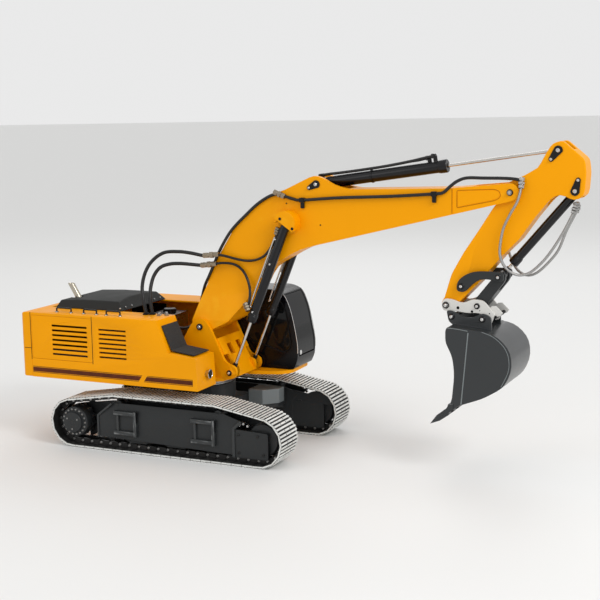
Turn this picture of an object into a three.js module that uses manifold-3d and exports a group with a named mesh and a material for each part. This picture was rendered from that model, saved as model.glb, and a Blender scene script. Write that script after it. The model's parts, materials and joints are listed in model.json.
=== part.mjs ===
// A radio-controlled hydraulic crawler excavator of 1:14 scale, as separate named pieces.
// Millimetres. +X points forwards along the boom, +Y to the machine's left, +Z up.
// The machine is drawn about its slewing axis, with the ground at z = 0, and moved at the end so
// that the origin is the middle of its outline on the ground.
import * as THREE from "three";
import { mergeVertices } from "three/addons/utils/BufferGeometryUtils.js";
import Module from "manifold-3d";

const wasm = await Module();
wasm.setup();

// ---- Driving dimensions ----
const GAP = 0.3;
const SIDES = [
  ["right", -1],
  ["left", 1],
];

const TRACK_Y = 89; // middle of a track, from the machine's middle
const SHOE_WIDTH = 50;
const SHOE_COUNT = 52;
const SHOE_DEPTH = 3.2;
const SHOE_GROOVE = 1.6;
const LOOP_POINTS = 60; // corners of the plain loops inside the shoes
const CHAIN_DEPTH = 10.5; // from the ground to the inside of the chain
const CHAIN_HALF = 11;
const WHEEL_Z = 34.5; // sprocket and idler centres, and the track's outer radius round them
const SPROCKET_X = -144;
const IDLER_X = 145;
const LOOP_TOP = 80.2;
const CARRIER_X = { rear: -76, front: 80 };
const CARRIER_R = 6.5;
const CARRIER_Z = LOOP_TOP - CHAIN_DEPTH - CARRIER_R - 2.5 * GAP;
const CARRIER_BEND = 17; // outer radius of the track as it bends over a carrier roller
const ROLLER_COUNT = 7; // bottom rollers of a track
const ROLLER_SPACING = 30;
const FIRST_ROLLER_X = -90;
const WEB_FROM = 11.5; // the side frame's webs, measured from the middle of the track
const WEB_TO = 15;

const DECK_BOTTOM = 93.4;
const DECK_TOP = 98;
const BODY_TOP = 184.7;
const BODY_HALF = 106;
const BODY_INNER = 56;
const BODY_REAR = -211.5;
const WALL = 3;
const DOOR_REAR = -210;
const DOOR_FRONT = -110;
const DOOR_BOTTOM = 120;
const DOOR_TOP = 181;
const COUNTERWEIGHT_REAR = -240;
const RAIL_Y = -92;

const BOOM_FOOT = [22, 167];
const BOOM_TIP = [449, 356];
const BOSS = [152, 312.5]; // barrel pivots of the two boom cylinders
const BOOM_ROD_EYE = [66.4, 106.1];
const BOOM_CYLINDER_Y = 29.8;
const BOOM_HALF = 21;
const BOOM_FOOT_HALF = 34;
const STICK_HALF = 15;
const STICK_CYLINDER_BASE = [191, 362.5];
const STICK_TOP = [506, 407];
const BUCKET_CYLINDER_TOP = [527, 358.5];
const ROCKER_PIVOT = [388, 238];
const ROCKER_PIN = [435, 251.3];
const BUCKET_PIVOT = [368, 213];
const LINK_PIN = [408, 214.2];
const EAR_PINS = [
  [376, 199.3],
  [416, 198],
];
const BUCKET_HALF = 45;
const TOOTH_SPACING = 20;
const TOOTH_HALF = 4.5;

const CAB_NEAR = 41.5;
const CAB_FAR = 103;

// ---- Finishes ----
const YELLOW = { color: 0xf2a30c, roughness: 0.38, metalness: 0.1 };
const GREY = { color: 0x3a3f42, roughness: 0.55, metalness: 0.2 };
const DARK = { color: 0x26282a, roughness: 0.6, metalness: 0.2 };
const STEEL = { color: 0xb9b8b2, roughness: 0.4, metalness: 0.9 };
const CHROME = { color: 0xdadada, roughness: 0.12, metalness: 1 };
const BLACK = { color: 0x0d0d0e, roughness: 0.35, metalness: 0.3 };
const WHITE = { color: 0xe9e7e2, roughness: 0.5, metalness: 0.1 };
const GLASS = { color: 0x202326, roughness: 0.08, metalness: 0 };
const RUBBER = { color: 0x151515, roughness: 0.7, metalness: 0 };
const BRAID = { color: 0x8b8d8f, roughness: 0.4, metalness: 0.8 };

// ---- Solids ----

// A closed solid from any geometry: shared corners are merged and flat-out triangles dropped.
function solid(geometry) {
  const bare = new THREE.BufferGeometry();
  bare.setAttribute("position", geometry.getAttribute("position"));
  bare.setIndex(geometry.index);
  const merged = mergeVertices(bare, 1e-3);
  const corners = [...merged.index.array];
  const kept = [];
  for (let i = 0; i < corners.length; i += 3) {
    const [a, b, c] = corners.slice(i, i + 3);
    if (a !== b && b !== c && c !== a) kept.push(a, b, c);
  }
  return new wasm.Manifold(
    new wasm.Mesh({
      numProp: 3,
      vertProperties: merged.attributes.position.array,
      triVerts: new Uint32Array(kept),
    }),
  );
}

const join = (first, ...others) => others.reduce((all, other) => all.add(other), first);
const cut = (first, ...others) => others.reduce((all, other) => all.subtract(other), first);

// A closed outline. A point is [u, v] or [u, v, ease], where ease rounds the corner off by that
// distance, or by just under half a side where the side is short.
function roundedOutline(points) {
  const shape = new THREE.Shape();
  points.forEach(([u, v, ease = 0], i) => {
    const corner = new THREE.Vector2(u, v);
    const towards = ([otherU, otherV]) => {
      const way = new THREE.Vector2(otherU, otherV).sub(corner);
      return way.setLength(Math.min(ease, 0.49 * way.length())).add(corner);
    };
    const start = towards(points.at(i - 1));
    const end = towards(points[(i + 1) % points.length]);
    if (i === 0) shape.moveTo(start.x, start.y);
    else shape.lineTo(start.x, start.y);
    if (ease) shape.quadraticCurveTo(u, v, end.x, end.y);
  });
  shape.closePath();
  return shape;
}

// The three ways to extrude an outline: its u and v become x and z, x and y, or y and z.
const FRAMES = {
  xz: [new THREE.Vector3(1, 0, 0), new THREE.Vector3(0, 0, 1), new THREE.Vector3(0, -1, 0)],
  xy: [new THREE.Vector3(1, 0, 0), new THREE.Vector3(0, 1, 0), new THREE.Vector3(0, 0, 1)],
  yz: [new THREE.Vector3(0, 1, 0), new THREE.Vector3(0, 0, 1), new THREE.Vector3(1, 0, 0)],
};

function extruded(frame, shape, low, high, curveSegments = 2) {
  const outline = shape instanceof THREE.Shape ? shape : roundedOutline(shape);
  const depth = high - low;
  const geometry = new THREE.ExtrudeGeometry(outline, { depth, bevelEnabled: false, curveSegments });
  geometry.applyMatrix4(new THREE.Matrix4().makeBasis(...FRAMES[frame]));
  const along = frame === "xz" ? -high : low;
  const [, , axis] = FRAMES[frame];
  geometry.translate(axis.x * along, axis.y * along, axis.z * along);
  return solid(geometry);
}

const side = (outline, y0, y1, segments) => extruded("xz", outline, y0, y1, segments);
const plan = (outline, z0, z1) => extruded("xy", outline, z0, z1);
const front = (outline, x0, x1) => extruded("yz", outline, x0, x1);

function box(x0, x1, y0, y1, z0, z1) {
  const geometry = new THREE.BoxGeometry(x1 - x0, y1 - y0, z1 - z0);
  return solid(geometry.translate((x0 + x1) / 2, (y0 + y1) / 2, (z0 + z1) / 2));
}

// How many sides a round bar gets: the thicker it is, the more.
function sidesFor(radius) {
  if (radius < 5) return 10;
  return radius < 18 ? 14 : 24;
}

// A round bar between two points.
function bar(from, to, radius) {
  const start = new THREE.Vector3(...from);
  const span = new THREE.Vector3(...to).sub(start);
  const geometry = new THREE.CylinderGeometry(radius, radius, span.length(), sidesFor(radius));
  geometry.translate(0, span.length() / 2, 0);
  const turn = new THREE.Quaternion().setFromUnitVectors(
    new THREE.Vector3(0, 1, 0),
    span.normalize(),
  );
  geometry.applyQuaternion(turn);
  return solid(geometry.translate(...start.toArray()));
}

// A round bar across the machine, through the point [x, z].
const crossBar = ([x, z], radius, y0, y1) => bar([x, y0, z], [x, y1, z], radius);

// The same bar on both sides of the machine.
const crossBars = (middle, radius, y0, y1) =>
  join(crossBar(middle, radius, y0, y1), crossBar(middle, radius, -y1, -y0));

// The same plate on both sides of the machine.
const sidePair = (outline, y0, y1) => join(side(outline, y0, y1), side(outline, -y1, -y0));

// A hose: a tube with eight sides along a smooth curve.
function tube(points, radius, steps) {
  const path = new THREE.CatmullRomCurve3(points.map((point) => new THREE.Vector3(...point)));
  const section = new THREE.Shape();
  section.absarc(0, 0, radius, 0, 2 * Math.PI);
  const options = { steps, extrudePath: path, curveSegments: 4, bevelEnabled: false };
  return solid(new THREE.ExtrudeGeometry(section, options));
}

const machine = new THREE.Group();

function place(name, made, finish) {
  const data = made.getMesh();
  const geometry = new THREE.BufferGeometry();
  geometry.setAttribute("position", new THREE.BufferAttribute(data.vertProperties, 3));
  geometry.setIndex(new THREE.BufferAttribute(data.triVerts, 1));
  geometry.computeVertexNormals();
  const mesh = new THREE.Mesh(geometry, new THREE.MeshStandardMaterial(finish));
  mesh.name = name;
  machine.add(mesh);
}

// ---- Undercarriage ----

// The loop that a track follows, set in from its outside, as a path of arcs joined by lines.
function trackLoop(inset) {
  const carrierZ = LOOP_TOP - CARRIER_BEND;
  const wheels = [
    [SPROCKET_X, WHEEL_Z, WHEEL_Z],
    [IDLER_X, WHEEL_Z, WHEEL_Z],
    [CARRIER_X.front, carrierZ, CARRIER_BEND],
    [CARRIER_X.rear, carrierZ, CARRIER_BEND],
  ];
  // The direction, seen from both wheel centres, of the line that touches them outside.
  const touching = ([x0, z0, r0], [x1, z1, r1]) => {
    const along = Math.atan2(z1 - z0, x1 - x0);
    return along - Math.acos((r0 - r1) / Math.hypot(x1 - x0, z1 - z0));
  };
  const path = new THREE.Path();
  wheels.forEach((wheel, i) => {
    const arriving = touching(wheels.at(i - 1), wheel);
    const leaving = touching(wheel, wheels[(i + 1) % wheels.length]);
    path.absarc(wheel[0], wheel[1], wheel[2] - inset, arriving, leaving, false);
  });
  path.closePath();
  return path;
}

const spacedLoop = (inset) => trackLoop(inset).getSpacedPoints(LOOP_POINTS).slice(0, -1);

function band(outerInset, innerInset, half, y) {
  const ring = new THREE.Shape(spacedLoop(outerInset));
  ring.holes.push(new THREE.Path(spacedLoop(innerInset)));
  return side(ring, y - half, y + half);
}

// The shoes' outside: a groove between each two.
function shoeBand(y) {
  const outside = trackLoop(0);
  const groove = trackLoop(SHOE_GROOVE);
  const points = [];
  for (let shoe = 0; shoe < SHOE_COUNT; shoe += 1) {
    points.push(groove.getPointAt(shoe / SHOE_COUNT));
    points.push(outside.getPointAt((shoe + 0.1) / SHOE_COUNT));
    points.push(outside.getPointAt((shoe + 0.9) / SHOE_COUNT));
  }
  const ring = new THREE.Shape(points);
  ring.holes.push(new THREE.Path(spacedLoop(SHOE_DEPTH)));
  return side(ring, y - SHOE_WIDTH / 2, y + SHOE_WIDTH / 2);
}

function toothedWheel(x, z, teeth, outer, root, y0, y1) {
  const points = [];
  for (let i = 0; i < 4 * teeth; i += 1) {
    const radius = i % 4 < 2 ? outer : root;
    const angle = ((i + 0.5) / (4 * teeth)) * 2 * Math.PI;
    points.push([x + radius * Math.cos(angle), z + radius * Math.sin(angle)]);
  }
  return side(points, y0, y1);
}

const SPROCKET = [SPROCKET_X, WHEEL_Z];
const SPROCKET_TEETH = 12;
const SPROCKET_ROOT_R = 19.3;
const IDLER = [IDLER_X, WHEEL_Z];
const WHEEL_R = 22.4;
const SHAFT_R = 6;
const MOTOR_R = 15;

// Both ends of a span measured from the middle of a track, outwards positive.
function acrossTrack(sign, inner, outer) {
  const ends = [sign * (TRACK_Y + inner), sign * (TRACK_Y + outer)];
  return ends.sort((a, b) => a - b);
}

function addTrack(name, sign) {
  const y = sign * TRACK_Y;
  const chain = band(SHOE_DEPTH - GAP, CHAIN_DEPTH, CHAIN_HALF, y);
  place(`track_${name}`, join(shoeBand(y), chain), STEEL);
}

function addSprocket(name, sign) {
  const [x, z] = SPROCKET;
  const radii = [WHEEL_R, SPROCKET_ROOT_R];
  const teeth = toothedWheel(x, z, SPROCKET_TEETH, ...radii, ...acrossTrack(sign, -4.5, 4.5));
  const drum = crossBar(SPROCKET, SPROCKET_ROOT_R - GAP, ...acrossTrack(sign, 0, 21));
  const cover = crossBar(SPROCKET, 14.5, ...acrossTrack(sign, 15, 23.6));
  const bore = crossBar(SPROCKET, SHAFT_R + GAP, ...acrossTrack(sign, -6, 9));
  place(`sprocket_${name}`, cut(join(drum, teeth, cover), bore), DARK);

  const housing = crossBar(SPROCKET, MOTOR_R, ...acrossTrack(sign, -27, -5));
  const shaft = crossBar(SPROCKET, SHAFT_R, ...acrossTrack(sign, -6, 8));
  place(`drive_motor_${name}`, join(housing, shaft), DARK);
}

function addIdler(name, sign) {
  const rim = crossBar(IDLER, WHEEL_R, ...acrossTrack(sign, -9, 9));
  const bore = crossBar(IDLER, 4 + GAP, ...acrossTrack(sign, -10, 10));
  place(`idler_${name}`, cut(rim, bore), DARK);
}

function addCarrierRoller(end, name, sign) {
  const middle = [CARRIER_X[end], CARRIER_Z];
  const roller = crossBar(middle, CARRIER_R, ...acrossTrack(sign, -10.5, 10.5));
  const bore = crossBar(middle, 2.5 + GAP, ...acrossTrack(sign, -11, 11));
  place(`carrier_roller_${end}_${name}`, cut(roller, bore), DARK);
}

const WEB = [
  [-107, 17],
  [-107, 47],
  [-83, 65.5],
  [88, 65.5],
  [117, 57],
  [106, 45],
  [106, 12],
];

// A step on the outside of a side frame: a square loop of flat iron.
function stepIron(x, sign) {
  const from = WEB_TO - 0.5;
  return cut(
    box(x, x + 33, ...acrossTrack(sign, from, 19.5), 23, 56),
    box(x + 6, x + 27, ...acrossTrack(sign, from - 1, 21), 29, 50),
  );
}

function addTrackFrame(name, sign) {
  const beam = box(-107, 106, ...acrossTrack(sign, -WEB_FROM - 1, WEB_FROM + 1), 26, 50);
  const outerWeb = side(WEB, ...acrossTrack(sign, WEB_FROM, WEB_TO));
  const innerWeb = side(WEB, ...acrossTrack(sign, -WEB_TO, -WEB_FROM));
  const rollers = [];
  for (let i = 0; i < ROLLER_COUNT; i += 1) {
    const x = FIRST_ROLLER_X + i * ROLLER_SPACING;
    rollers.push(box(x - 9, x + 9, ...acrossTrack(sign, -9, 9), CHAIN_DEPTH + GAP, 27));
  }
  const yoke = (from, to) => box(100, 152, ...acrossTrack(sign, from, to), 28, 42);
  const guards = [
    box(105, 155, ...acrossTrack(sign, WEB_FROM, WEB_TO - 0.5), 9, 47),
    box(105, 155, ...acrossTrack(sign, 0.5 - WEB_TO, -WEB_FROM), 9, 47),
  ];
  const idlerAxle = crossBar(IDLER, 4, ...acrossTrack(sign, -11, 12));
  const axle = (x) => {
    const middle = [x, CARRIER_Z];
    return crossBar(middle, 2.5, ...acrossTrack(sign, -WEB_FROM - 1, WEB_FROM + 1));
  };
  const motorPlate = side(
    [[-106, 20], [-106, 50], [-128, 58, 6], [-163, 52, 12], [-163, 18, 12], [-128, 12, 6]],
    ...acrossTrack(sign, -WEB_TO, -WEB_FROM),
  );
  const motorHole = crossBar(SPROCKET, MOTOR_R + GAP, ...acrossTrack(sign, -30, -6));
  const frame = join(
    beam,
    outerWeb,
    innerWeb,
    ...rollers,
    yoke(-WEB_FROM - 1, -9.5),
    yoke(9.5, WEB_FROM + 1),
    ...guards,
    idlerAxle,
    axle(CARRIER_X.rear),
    axle(CARRIER_X.front),
    motorPlate,
    stepIron(-76, sign),
    stepIron(45, sign),
  );
  place(`track_frame_${name}`, cut(frame, motorHole), GREY);
}

const ARM_REACH = TRACK_Y - WEB_TO - GAP;

function addCentreFrame() {
  const pieces = [
    plan([[-56, -40, 8], [56, -40, 8], [56, 40, 8], [-56, 40, 8]], 32, 62),
    bar([0, 0, 60], [0, 0, 84], 48),
  ];
  for (const sx of [-1, 1]) {
    for (const sy of [-1, 1]) {
      const arm = [
        [30 * sx, 10 * sy],
        [92 * sx, ARM_REACH * sy],
        [56 * sx, ARM_REACH * sy],
        [10 * sx, 30 * sy],
      ];
      pieces.push(plan(sx * sy > 0 ? arm : arm.reverse(), 34, 56));
      const block = [
        [58 * sx, 34 * sy],
        [78 * sx, 34 * sy],
        [95 * sx, 52 * sy],
        [95 * sx, ARM_REACH * sy],
        [56 * sx, ARM_REACH * sy],
      ];
      pieces.push(plan(sx * sy > 0 ? block : block.reverse(), 40, 66));
    }
  }
  place("centre_frame", join(...pieces), GREY);
}

function addSlewing() {
  const ring = cut(bar([0, 0, 84 + GAP], [0, 0, 89], 46), bar([0, 0, 83], [0, 0, 90], 34));
  place("slew_ring", ring, STEEL);
  const motor = join(
    bar([-22, 0, DECK_TOP + GAP], [-22, 0, DECK_TOP + 34], 13),
    box(-39, -5, -17, 17, DECK_TOP + GAP, DECK_TOP + 5),
  );
  place("slew_motor", motor, DARK);
}

// ---- Upper structure ----

const LUG_INNER = [20, 25.4];
const LUG_OUTER = [34.4, 39];

const BRACKET_SIDE = [
  [-26, DECK_TOP - 1],
  [-14, 130],
  [0, 157, 4],
  [12, 176, 7],
  [28, 180, 8],
  [37, 167, 4],
  [60, 119, 6],
  [77, 114, 6],
  [76, 99, 6],
  [62, 96, 3],
  [56, DECK_BOTTOM],
  [-26, DECK_BOTTOM],
];
const BRACKET_LUG = [
  [20, DECK_TOP - 1],
  [40, 126],
  [57, 118, 5],
  [75, 114, 6],
  [75, 99, 6],
  [62, 96, 3],
  [56, DECK_BOTTOM],
  [20, DECK_BOTTOM],
];

function bracket() {
  // The front plate leans back by 28 mm in 51 mm, and is at x = 40 where z = 163.
  const slope = (from, to) => {
    const at = (z) => 40 + ((163 - z) * 28) / 51;
    return [
      [at(from), from],
      [at(to), to],
      [at(to) - WALL, to - 1],
      [at(from) - WALL, from - 1],
    ];
  };
  const wide = side(slope(151.5, 130), -35, 35);
  const narrow = side(slope(131, 100), -LUG_INNER[1], LUG_INNER[1]);
  const slots = join(box(40, 70, -19, -7, 128, 142), box(40, 70, 7, 19, 128, 142));
  const plates = join(sidePair(BRACKET_SIDE, ...LUG_OUTER), sidePair(BRACKET_LUG, ...LUG_INNER));
  return cut(
    join(plates, cut(join(wide, narrow), slots)),
    crossBar(BOOM_FOOT, 4 + GAP, -45, 45),
  );
}

function addMainDeck() {
  const outline = [
    [BODY_REAR, -55.5],
    [30, -55.5],
    [56, -39],
    [56, 14],
    [78, 18],
    [112, 29, 8],
    [122, 44, 5],
    [120, 104, 8],
    [-4, 106],
    [-4, 55.5],
    [BODY_REAR, 55.5],
  ];
  const deck = plan(outline, DECK_BOTTOM, DECK_TOP);
  const race = cut(bar([0, 0, 89 + GAP], [0, 0, 94], 44), bar([0, 0, 88], [0, 0, 99], 30));
  const clevis = join(box(50, 80, -34.4, -25.4, 90, 99), box(50, 80, 25.4, 34.4, 90, 99));
  const bushing = crossBars(BOOM_ROD_EYE, 4, LUG_OUTER[0], LUG_OUTER[1] + 2);
  const hole = bar([0, 0, 92], [0, 0, 100], 12);
  place("main_deck", cut(join(deck, race, bracket(), bushing), clevis, hole), YELLOW);
}

const RIGHT_SIDE = [
  [BODY_REAR, DECK_BOTTOM],
  [54, DECK_BOTTOM],
  [52, 137],
  [10, 142],
  [-7, BODY_TOP],
  [BODY_REAR, BODY_TOP],
];
const RIGHT_INSIDE = [
  [BODY_REAR + WALL, DECK_TOP],
  [50.5, DECK_TOP],
  [49, 134],
  [7, 139],
  [-9, BODY_TOP - WALL],
  [BODY_REAR + WALL, BODY_TOP - WALL],
];

// A bank of horizontal slots through the wall between y0 and y1.
function louvres(x0, x1, z0, z1, y0, y1) {
  const count = 7;
  const half = 1.3;
  const pitch = (z1 - z0) / (count - 1);
  const slots = [];
  for (let i = 0; i < count; i += 1) {
    const middle = z0 + i * pitch;
    slots.push(box(x0, x1, y0, y1, middle - half, middle + half));
  }
  return join(...slots);
}

function handRail(x0, x1, y) {
  const top = BODY_TOP + 6.5;
  const half = 0.8;
  return join(
    box(x0, x0 + 2 * half, y - half, y + half, BODY_TOP - 1, top),
    box(x1 - 2 * half, x1, y - half, y + half, BODY_TOP - 1, top),
    box(x0, x1, y - half, y + half, top - 2 * half, top),
  );
}

function addRightBody() {
  const shell = cut(
    side(RIGHT_SIDE, -BODY_HALF, -BODY_INNER),
    side(RIGHT_INSIDE, -BODY_HALF + WALL, -BODY_INNER + 1),
  );
  // The box of the door's outline, set in from it, through the wall to a depth.
  const doorBox = (inset, depth) =>
    box(
      DOOR_REAR + inset,
      DOOR_FRONT - inset,
      -BODY_HALF - 1,
      -BODY_HALF + depth,
      DOOR_BOTTOM + inset,
      DOOR_TOP - inset,
    );
  const doorway = doorBox(-GAP, 1.8);
  const doorHole = doorBox(5, 5);
  const frontVents = louvres(-99, -55, 129, 167, -BODY_HALF - 1, -BODY_HALF + 5);
  const hoseHoles = join(
    bar([-46, -67, 180], [-46, -67, 190], 3.4),
    bar([-38, -64, 180], [-38, -64, 190], 3.4),
  );
  const lampSeat = bar([53, -78, 112], [60, -78, 112], 5.4);
  const railSpans = [[-176, -152], [-131, -110], [-94, -72]];
  const rails = railSpans.map(([x0, x1]) => handRail(x0, x1, RAIL_Y));
  const body = join(cut(shell, doorway, doorHole, frontVents, hoseHoles), ...rails);
  place("right_body", cut(body, lampSeat), YELLOW);

  const door = cut(
    box(DOOR_REAR, DOOR_FRONT, -BODY_HALF, -BODY_HALF + 1.5, DOOR_BOTTOM, DOOR_TOP),
    louvres(-176, -118, 128, 168, -BODY_HALF - 1, -BODY_HALF + 3),
  );
  place("right_door", door, YELLOW);
}

function addLeftBody() {
  const outside = [
    [BODY_REAR, DECK_BOTTOM],
    [-5, DECK_BOTTOM],
    [-5, 160],
    [-14, BODY_TOP],
    [BODY_REAR, BODY_TOP],
  ];
  const inside = [
    [BODY_REAR + WALL, DECK_TOP],
    [-8, DECK_TOP],
    [-8, 159],
    [-16, BODY_TOP - WALL],
    [BODY_REAR + WALL, BODY_TOP - WALL],
  ];
  const shell = cut(
    side(outside, BODY_INNER, BODY_HALF),
    side(inside, BODY_INNER - 1, BODY_HALF - WALL),
    louvres(-176, -118, 128, 168, BODY_HALF - 5, BODY_HALF + 1),
  );
  place("left_body", shell, YELLOW);
}

function addCounterweight() {
  const joint = BODY_REAR - GAP;
  const outline = [
    [joint, -BODY_HALF],
    [-226, -BODY_HALF, 8],
    [COUNTERWEIGHT_REAR, -66, 24],
    [COUNTERWEIGHT_REAR, 66, 24],
    [-226, BODY_HALF, 8],
    [joint, BODY_HALF],
  ];
  const profile = [
    [-205, DECK_BOTTOM],
    [COUNTERWEIGHT_REAR + 6, DECK_BOTTOM, 3],
    [COUNTERWEIGHT_REAR, 106, 4],
    [COUNTERWEIGHT_REAR, 150, 14],
    [-216, BODY_TOP, 8],
    [-205, BODY_TOP],
  ];
  const block = plan(outline.reverse(), DECK_BOTTOM, BODY_TOP).intersect(side(profile, -110, 110));
  place("counterweight", block, YELLOW);
}

const HOOD_REAR = -201;
const HOOD_FRONT = -90;

function addEngineHood() {
  const shape = (inset) => {
    const profile = [
      [HOOD_REAR + inset, BODY_TOP + GAP - inset],
      [HOOD_FRONT - inset, BODY_TOP + GAP - inset],
      [-103 - inset, 200 - inset],
      [-197 + inset, 195 - inset],
    ];
    const section = [
      [-60 + inset, BODY_TOP + GAP - inset],
      [60 - inset, BODY_TOP + GAP - inset],
      [51 - inset, 197 - inset],
      [12, 201 - inset],
      [-12, 201 - inset],
      [-51 + inset, 197 - inset],
    ];
    return side(profile, -62, 62).intersect(front(section, -210, -80));
  };
  const exhaustHole = bar([-190, -20, 180], [-190, -20, 205], 8);
  place("engine_hood", cut(shape(0), shape(2.5), exhaustHole), GREY);

  const outside = [[-188, -20, 182], [-188, -20, 192], [-191, -20, 197], [-203, -20, 217]];
  const elbow = join(
    bar(outside[0], outside[1], 4),
    bar(outside[1], outside[2], 4),
    bar(outside[2], outside[3], 4),
    bar([-188, -20, 181], [-188, -20, 184], 6),
  );
  const bore = bar([-196, -20, 205.3], [-205, -20, 220.3], 3.1);
  const slash = box(-215, -195, -30, -10, 214.5, 225);
  place("exhaust_pipe", cut(elbow, bore, slash), CHROME);
}

function addInsides() {
  place("battery", box(-205, -150, -45, 45, DECK_TOP + GAP, 132), BLACK);
  const pump = join(
    bar([-140, -25, 122], [-92, -25, 122], 18),
    bar([-93, -25, 122], [-70, -25, 122], 12),
    box(-136, -76, -38, -12, DECK_TOP + GAP, 112),
  );
  place("hydraulic_pump", pump, STEEL);
  const tank = cut(
    box(-86, -48, 6, 50, DECK_TOP + GAP, 172),
    bar([-62, 22, 165], [-62, 22, 175], 6.3),
  );
  place("oil_tank", tank, STEEL);
  const cap = join(
    bar([-62, 22, 166], [-62, 22, 175], 6),
    bar([-62, 22, 172 + GAP], [-62, 22, 179], 9),
  );
  place("filler_cap", cap, BLACK);
  const valves = [box(-66, -42, -48, -8, DECK_TOP + GAP, 150)];
  for (let i = 0; i < 5; i += 1) {
    valves.push(bar([-54, -43 + i * 7.5, 149], [-54, -43 + i * 7.5, 158], 2.6));
  }
  place("valve_block", join(...valves), STEEL);
  place("receiver", box(-140, -105, 14, 40, DECK_TOP + GAP, 112), BLACK);
}

function addTrim() {
  const mat = [
    [-4.2, 175.5],
    [10.6, 142.8],
    [45, 138.6],
    [45, 140],
    [11.4, 144.2],
    [-3, 176.6],
  ];
  const level = mat.map(([x, z]) => [x + 1.2, z + 0.8]);
  place("step_mat", side(level, -99, -59), RUBBER);
  const lamp = join(
    bar([53.4, -78, 112], [57, -78, 112], 5),
    bar([56.5, -78, 112], [58.5, -78, 112], 6.4),
  );
  place("work_lamp", lamp, BLACK);
}

// ---- Cab ----

const cabProfile = (inset) => [
  [4 + inset, DECK_TOP + GAP + inset],
  [124 - inset, DECK_TOP + GAP + inset, 3],
  [130.5 - inset, 112 + inset, 6],
  [131 - inset, 134, 8],
  [121.5 - inset, 182, 10],
  [111 - inset, 206 - inset, 7],
  [94 - inset, 211 - inset, 5],
  [4 + inset, 208 - inset, 5],
];

function addCab() {
  const outer = side(cabProfile(0), CAB_NEAR, CAB_FAR);
  const inner = side(cabProfile(WALL), CAB_NEAR + WALL, CAB_FAR - WALL);
  const windscreen = box(100, 140, CAB_NEAR + 5, CAB_FAR - 5, 118, 203);
  const sideWindow = side(
    [[14, 150, 3], [112, 122, 6], [122, 132, 6], [114, 180, 6], [104, 200, 5], [14, 200, 3]],
    CAB_NEAR - 1,
    CAB_NEAR + 4,
  );
  const rearWindow = box(0, 10, CAB_NEAR + 8, CAB_FAR - 8, 150, 200);
  const doorway = side(doorOutline(-GAP), CAB_FAR - 4, CAB_FAR + 1);
  const shell = cut(outer, inner, windscreen, sideWindow, rearWindow, doorway);
  place("cab_shell", shell, BLACK);

  const curved = side(cabProfile(0.6), CAB_NEAR + 5 + GAP, CAB_FAR - 5 - GAP);
  const pane = cut(curved, side(cabProfile(2.2), 0, 110));
  const paneRoom = box(100 + GAP, 140, 0, 110, 118 + GAP, 203 - GAP);
  place("cab_windscreen", pane.intersect(paneRoom), GLASS);

  const doorPane = side(
    [[50, 140, 3], [104, 140, 5], [110, 160, 5], [99, 196, 5], [50, 198, 3]],
    90,
    110,
  );
  const handle = box(44, 54, CAB_FAR - 0.5, CAB_FAR + 1.6, 126, 129);
  const door = cut(side(doorOutline(0), CAB_FAR - 2.4, CAB_FAR), doorPane);
  place("cab_door", join(door, handle), BLACK);

  const seat = join(
    box(30, 66, 56, 90, 104, 118),
    side([[26, 116], [40, 116], [30, 166, 3], [18, 166, 3]], 56, 90),
    side([[24, 164], [30, 164], [27, 178, 2], [20, 178, 2]], 64, 82),
    box(36, 60, 60, 86, DECK_TOP + WALL + 2 * GAP, 105),
  );
  place("driver_seat", seat, RUBBER);
}

// The cab door's outline, set in from its doorway.
function doorOutline(inset) {
  return [
    [38 + inset, 106 + inset],
    [112 - inset, 106 + inset, 3],
    [117 - inset, 136, 6],
    [105 - inset, 198 - inset, 5],
    [38 + inset, 203 - inset, 4],
  ];
}

// ---- Boom and its cylinders ----

const BOOM_OUTLINE = [
  [7, 174],
  [16, 201],
  [37, 252, 18],
  [80, 319, 24],
  [131, 350, 6],
  [146, 355],
  [188, 374.5, 7],
  [201, 370.5, 5],
  [215, 361.5, 8],
  [238, 356.6, 6],
  [372, 360],
  [453, 367.5, 5],
  [460.5, 361, 5],
  [459, 348, 6],
  [447, 344.5],
  [378, 328],
  [334, 318],
  [166, 277, 16],
  [140, 262, 12],
  [113, 248, 12],
  [99, 221, 8],
  [86, 202, 6],
  [62, 175, 5],
  [39, 164, 3],
  [30, 157.2, 4],
  [16, 157, 5],
];

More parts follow.
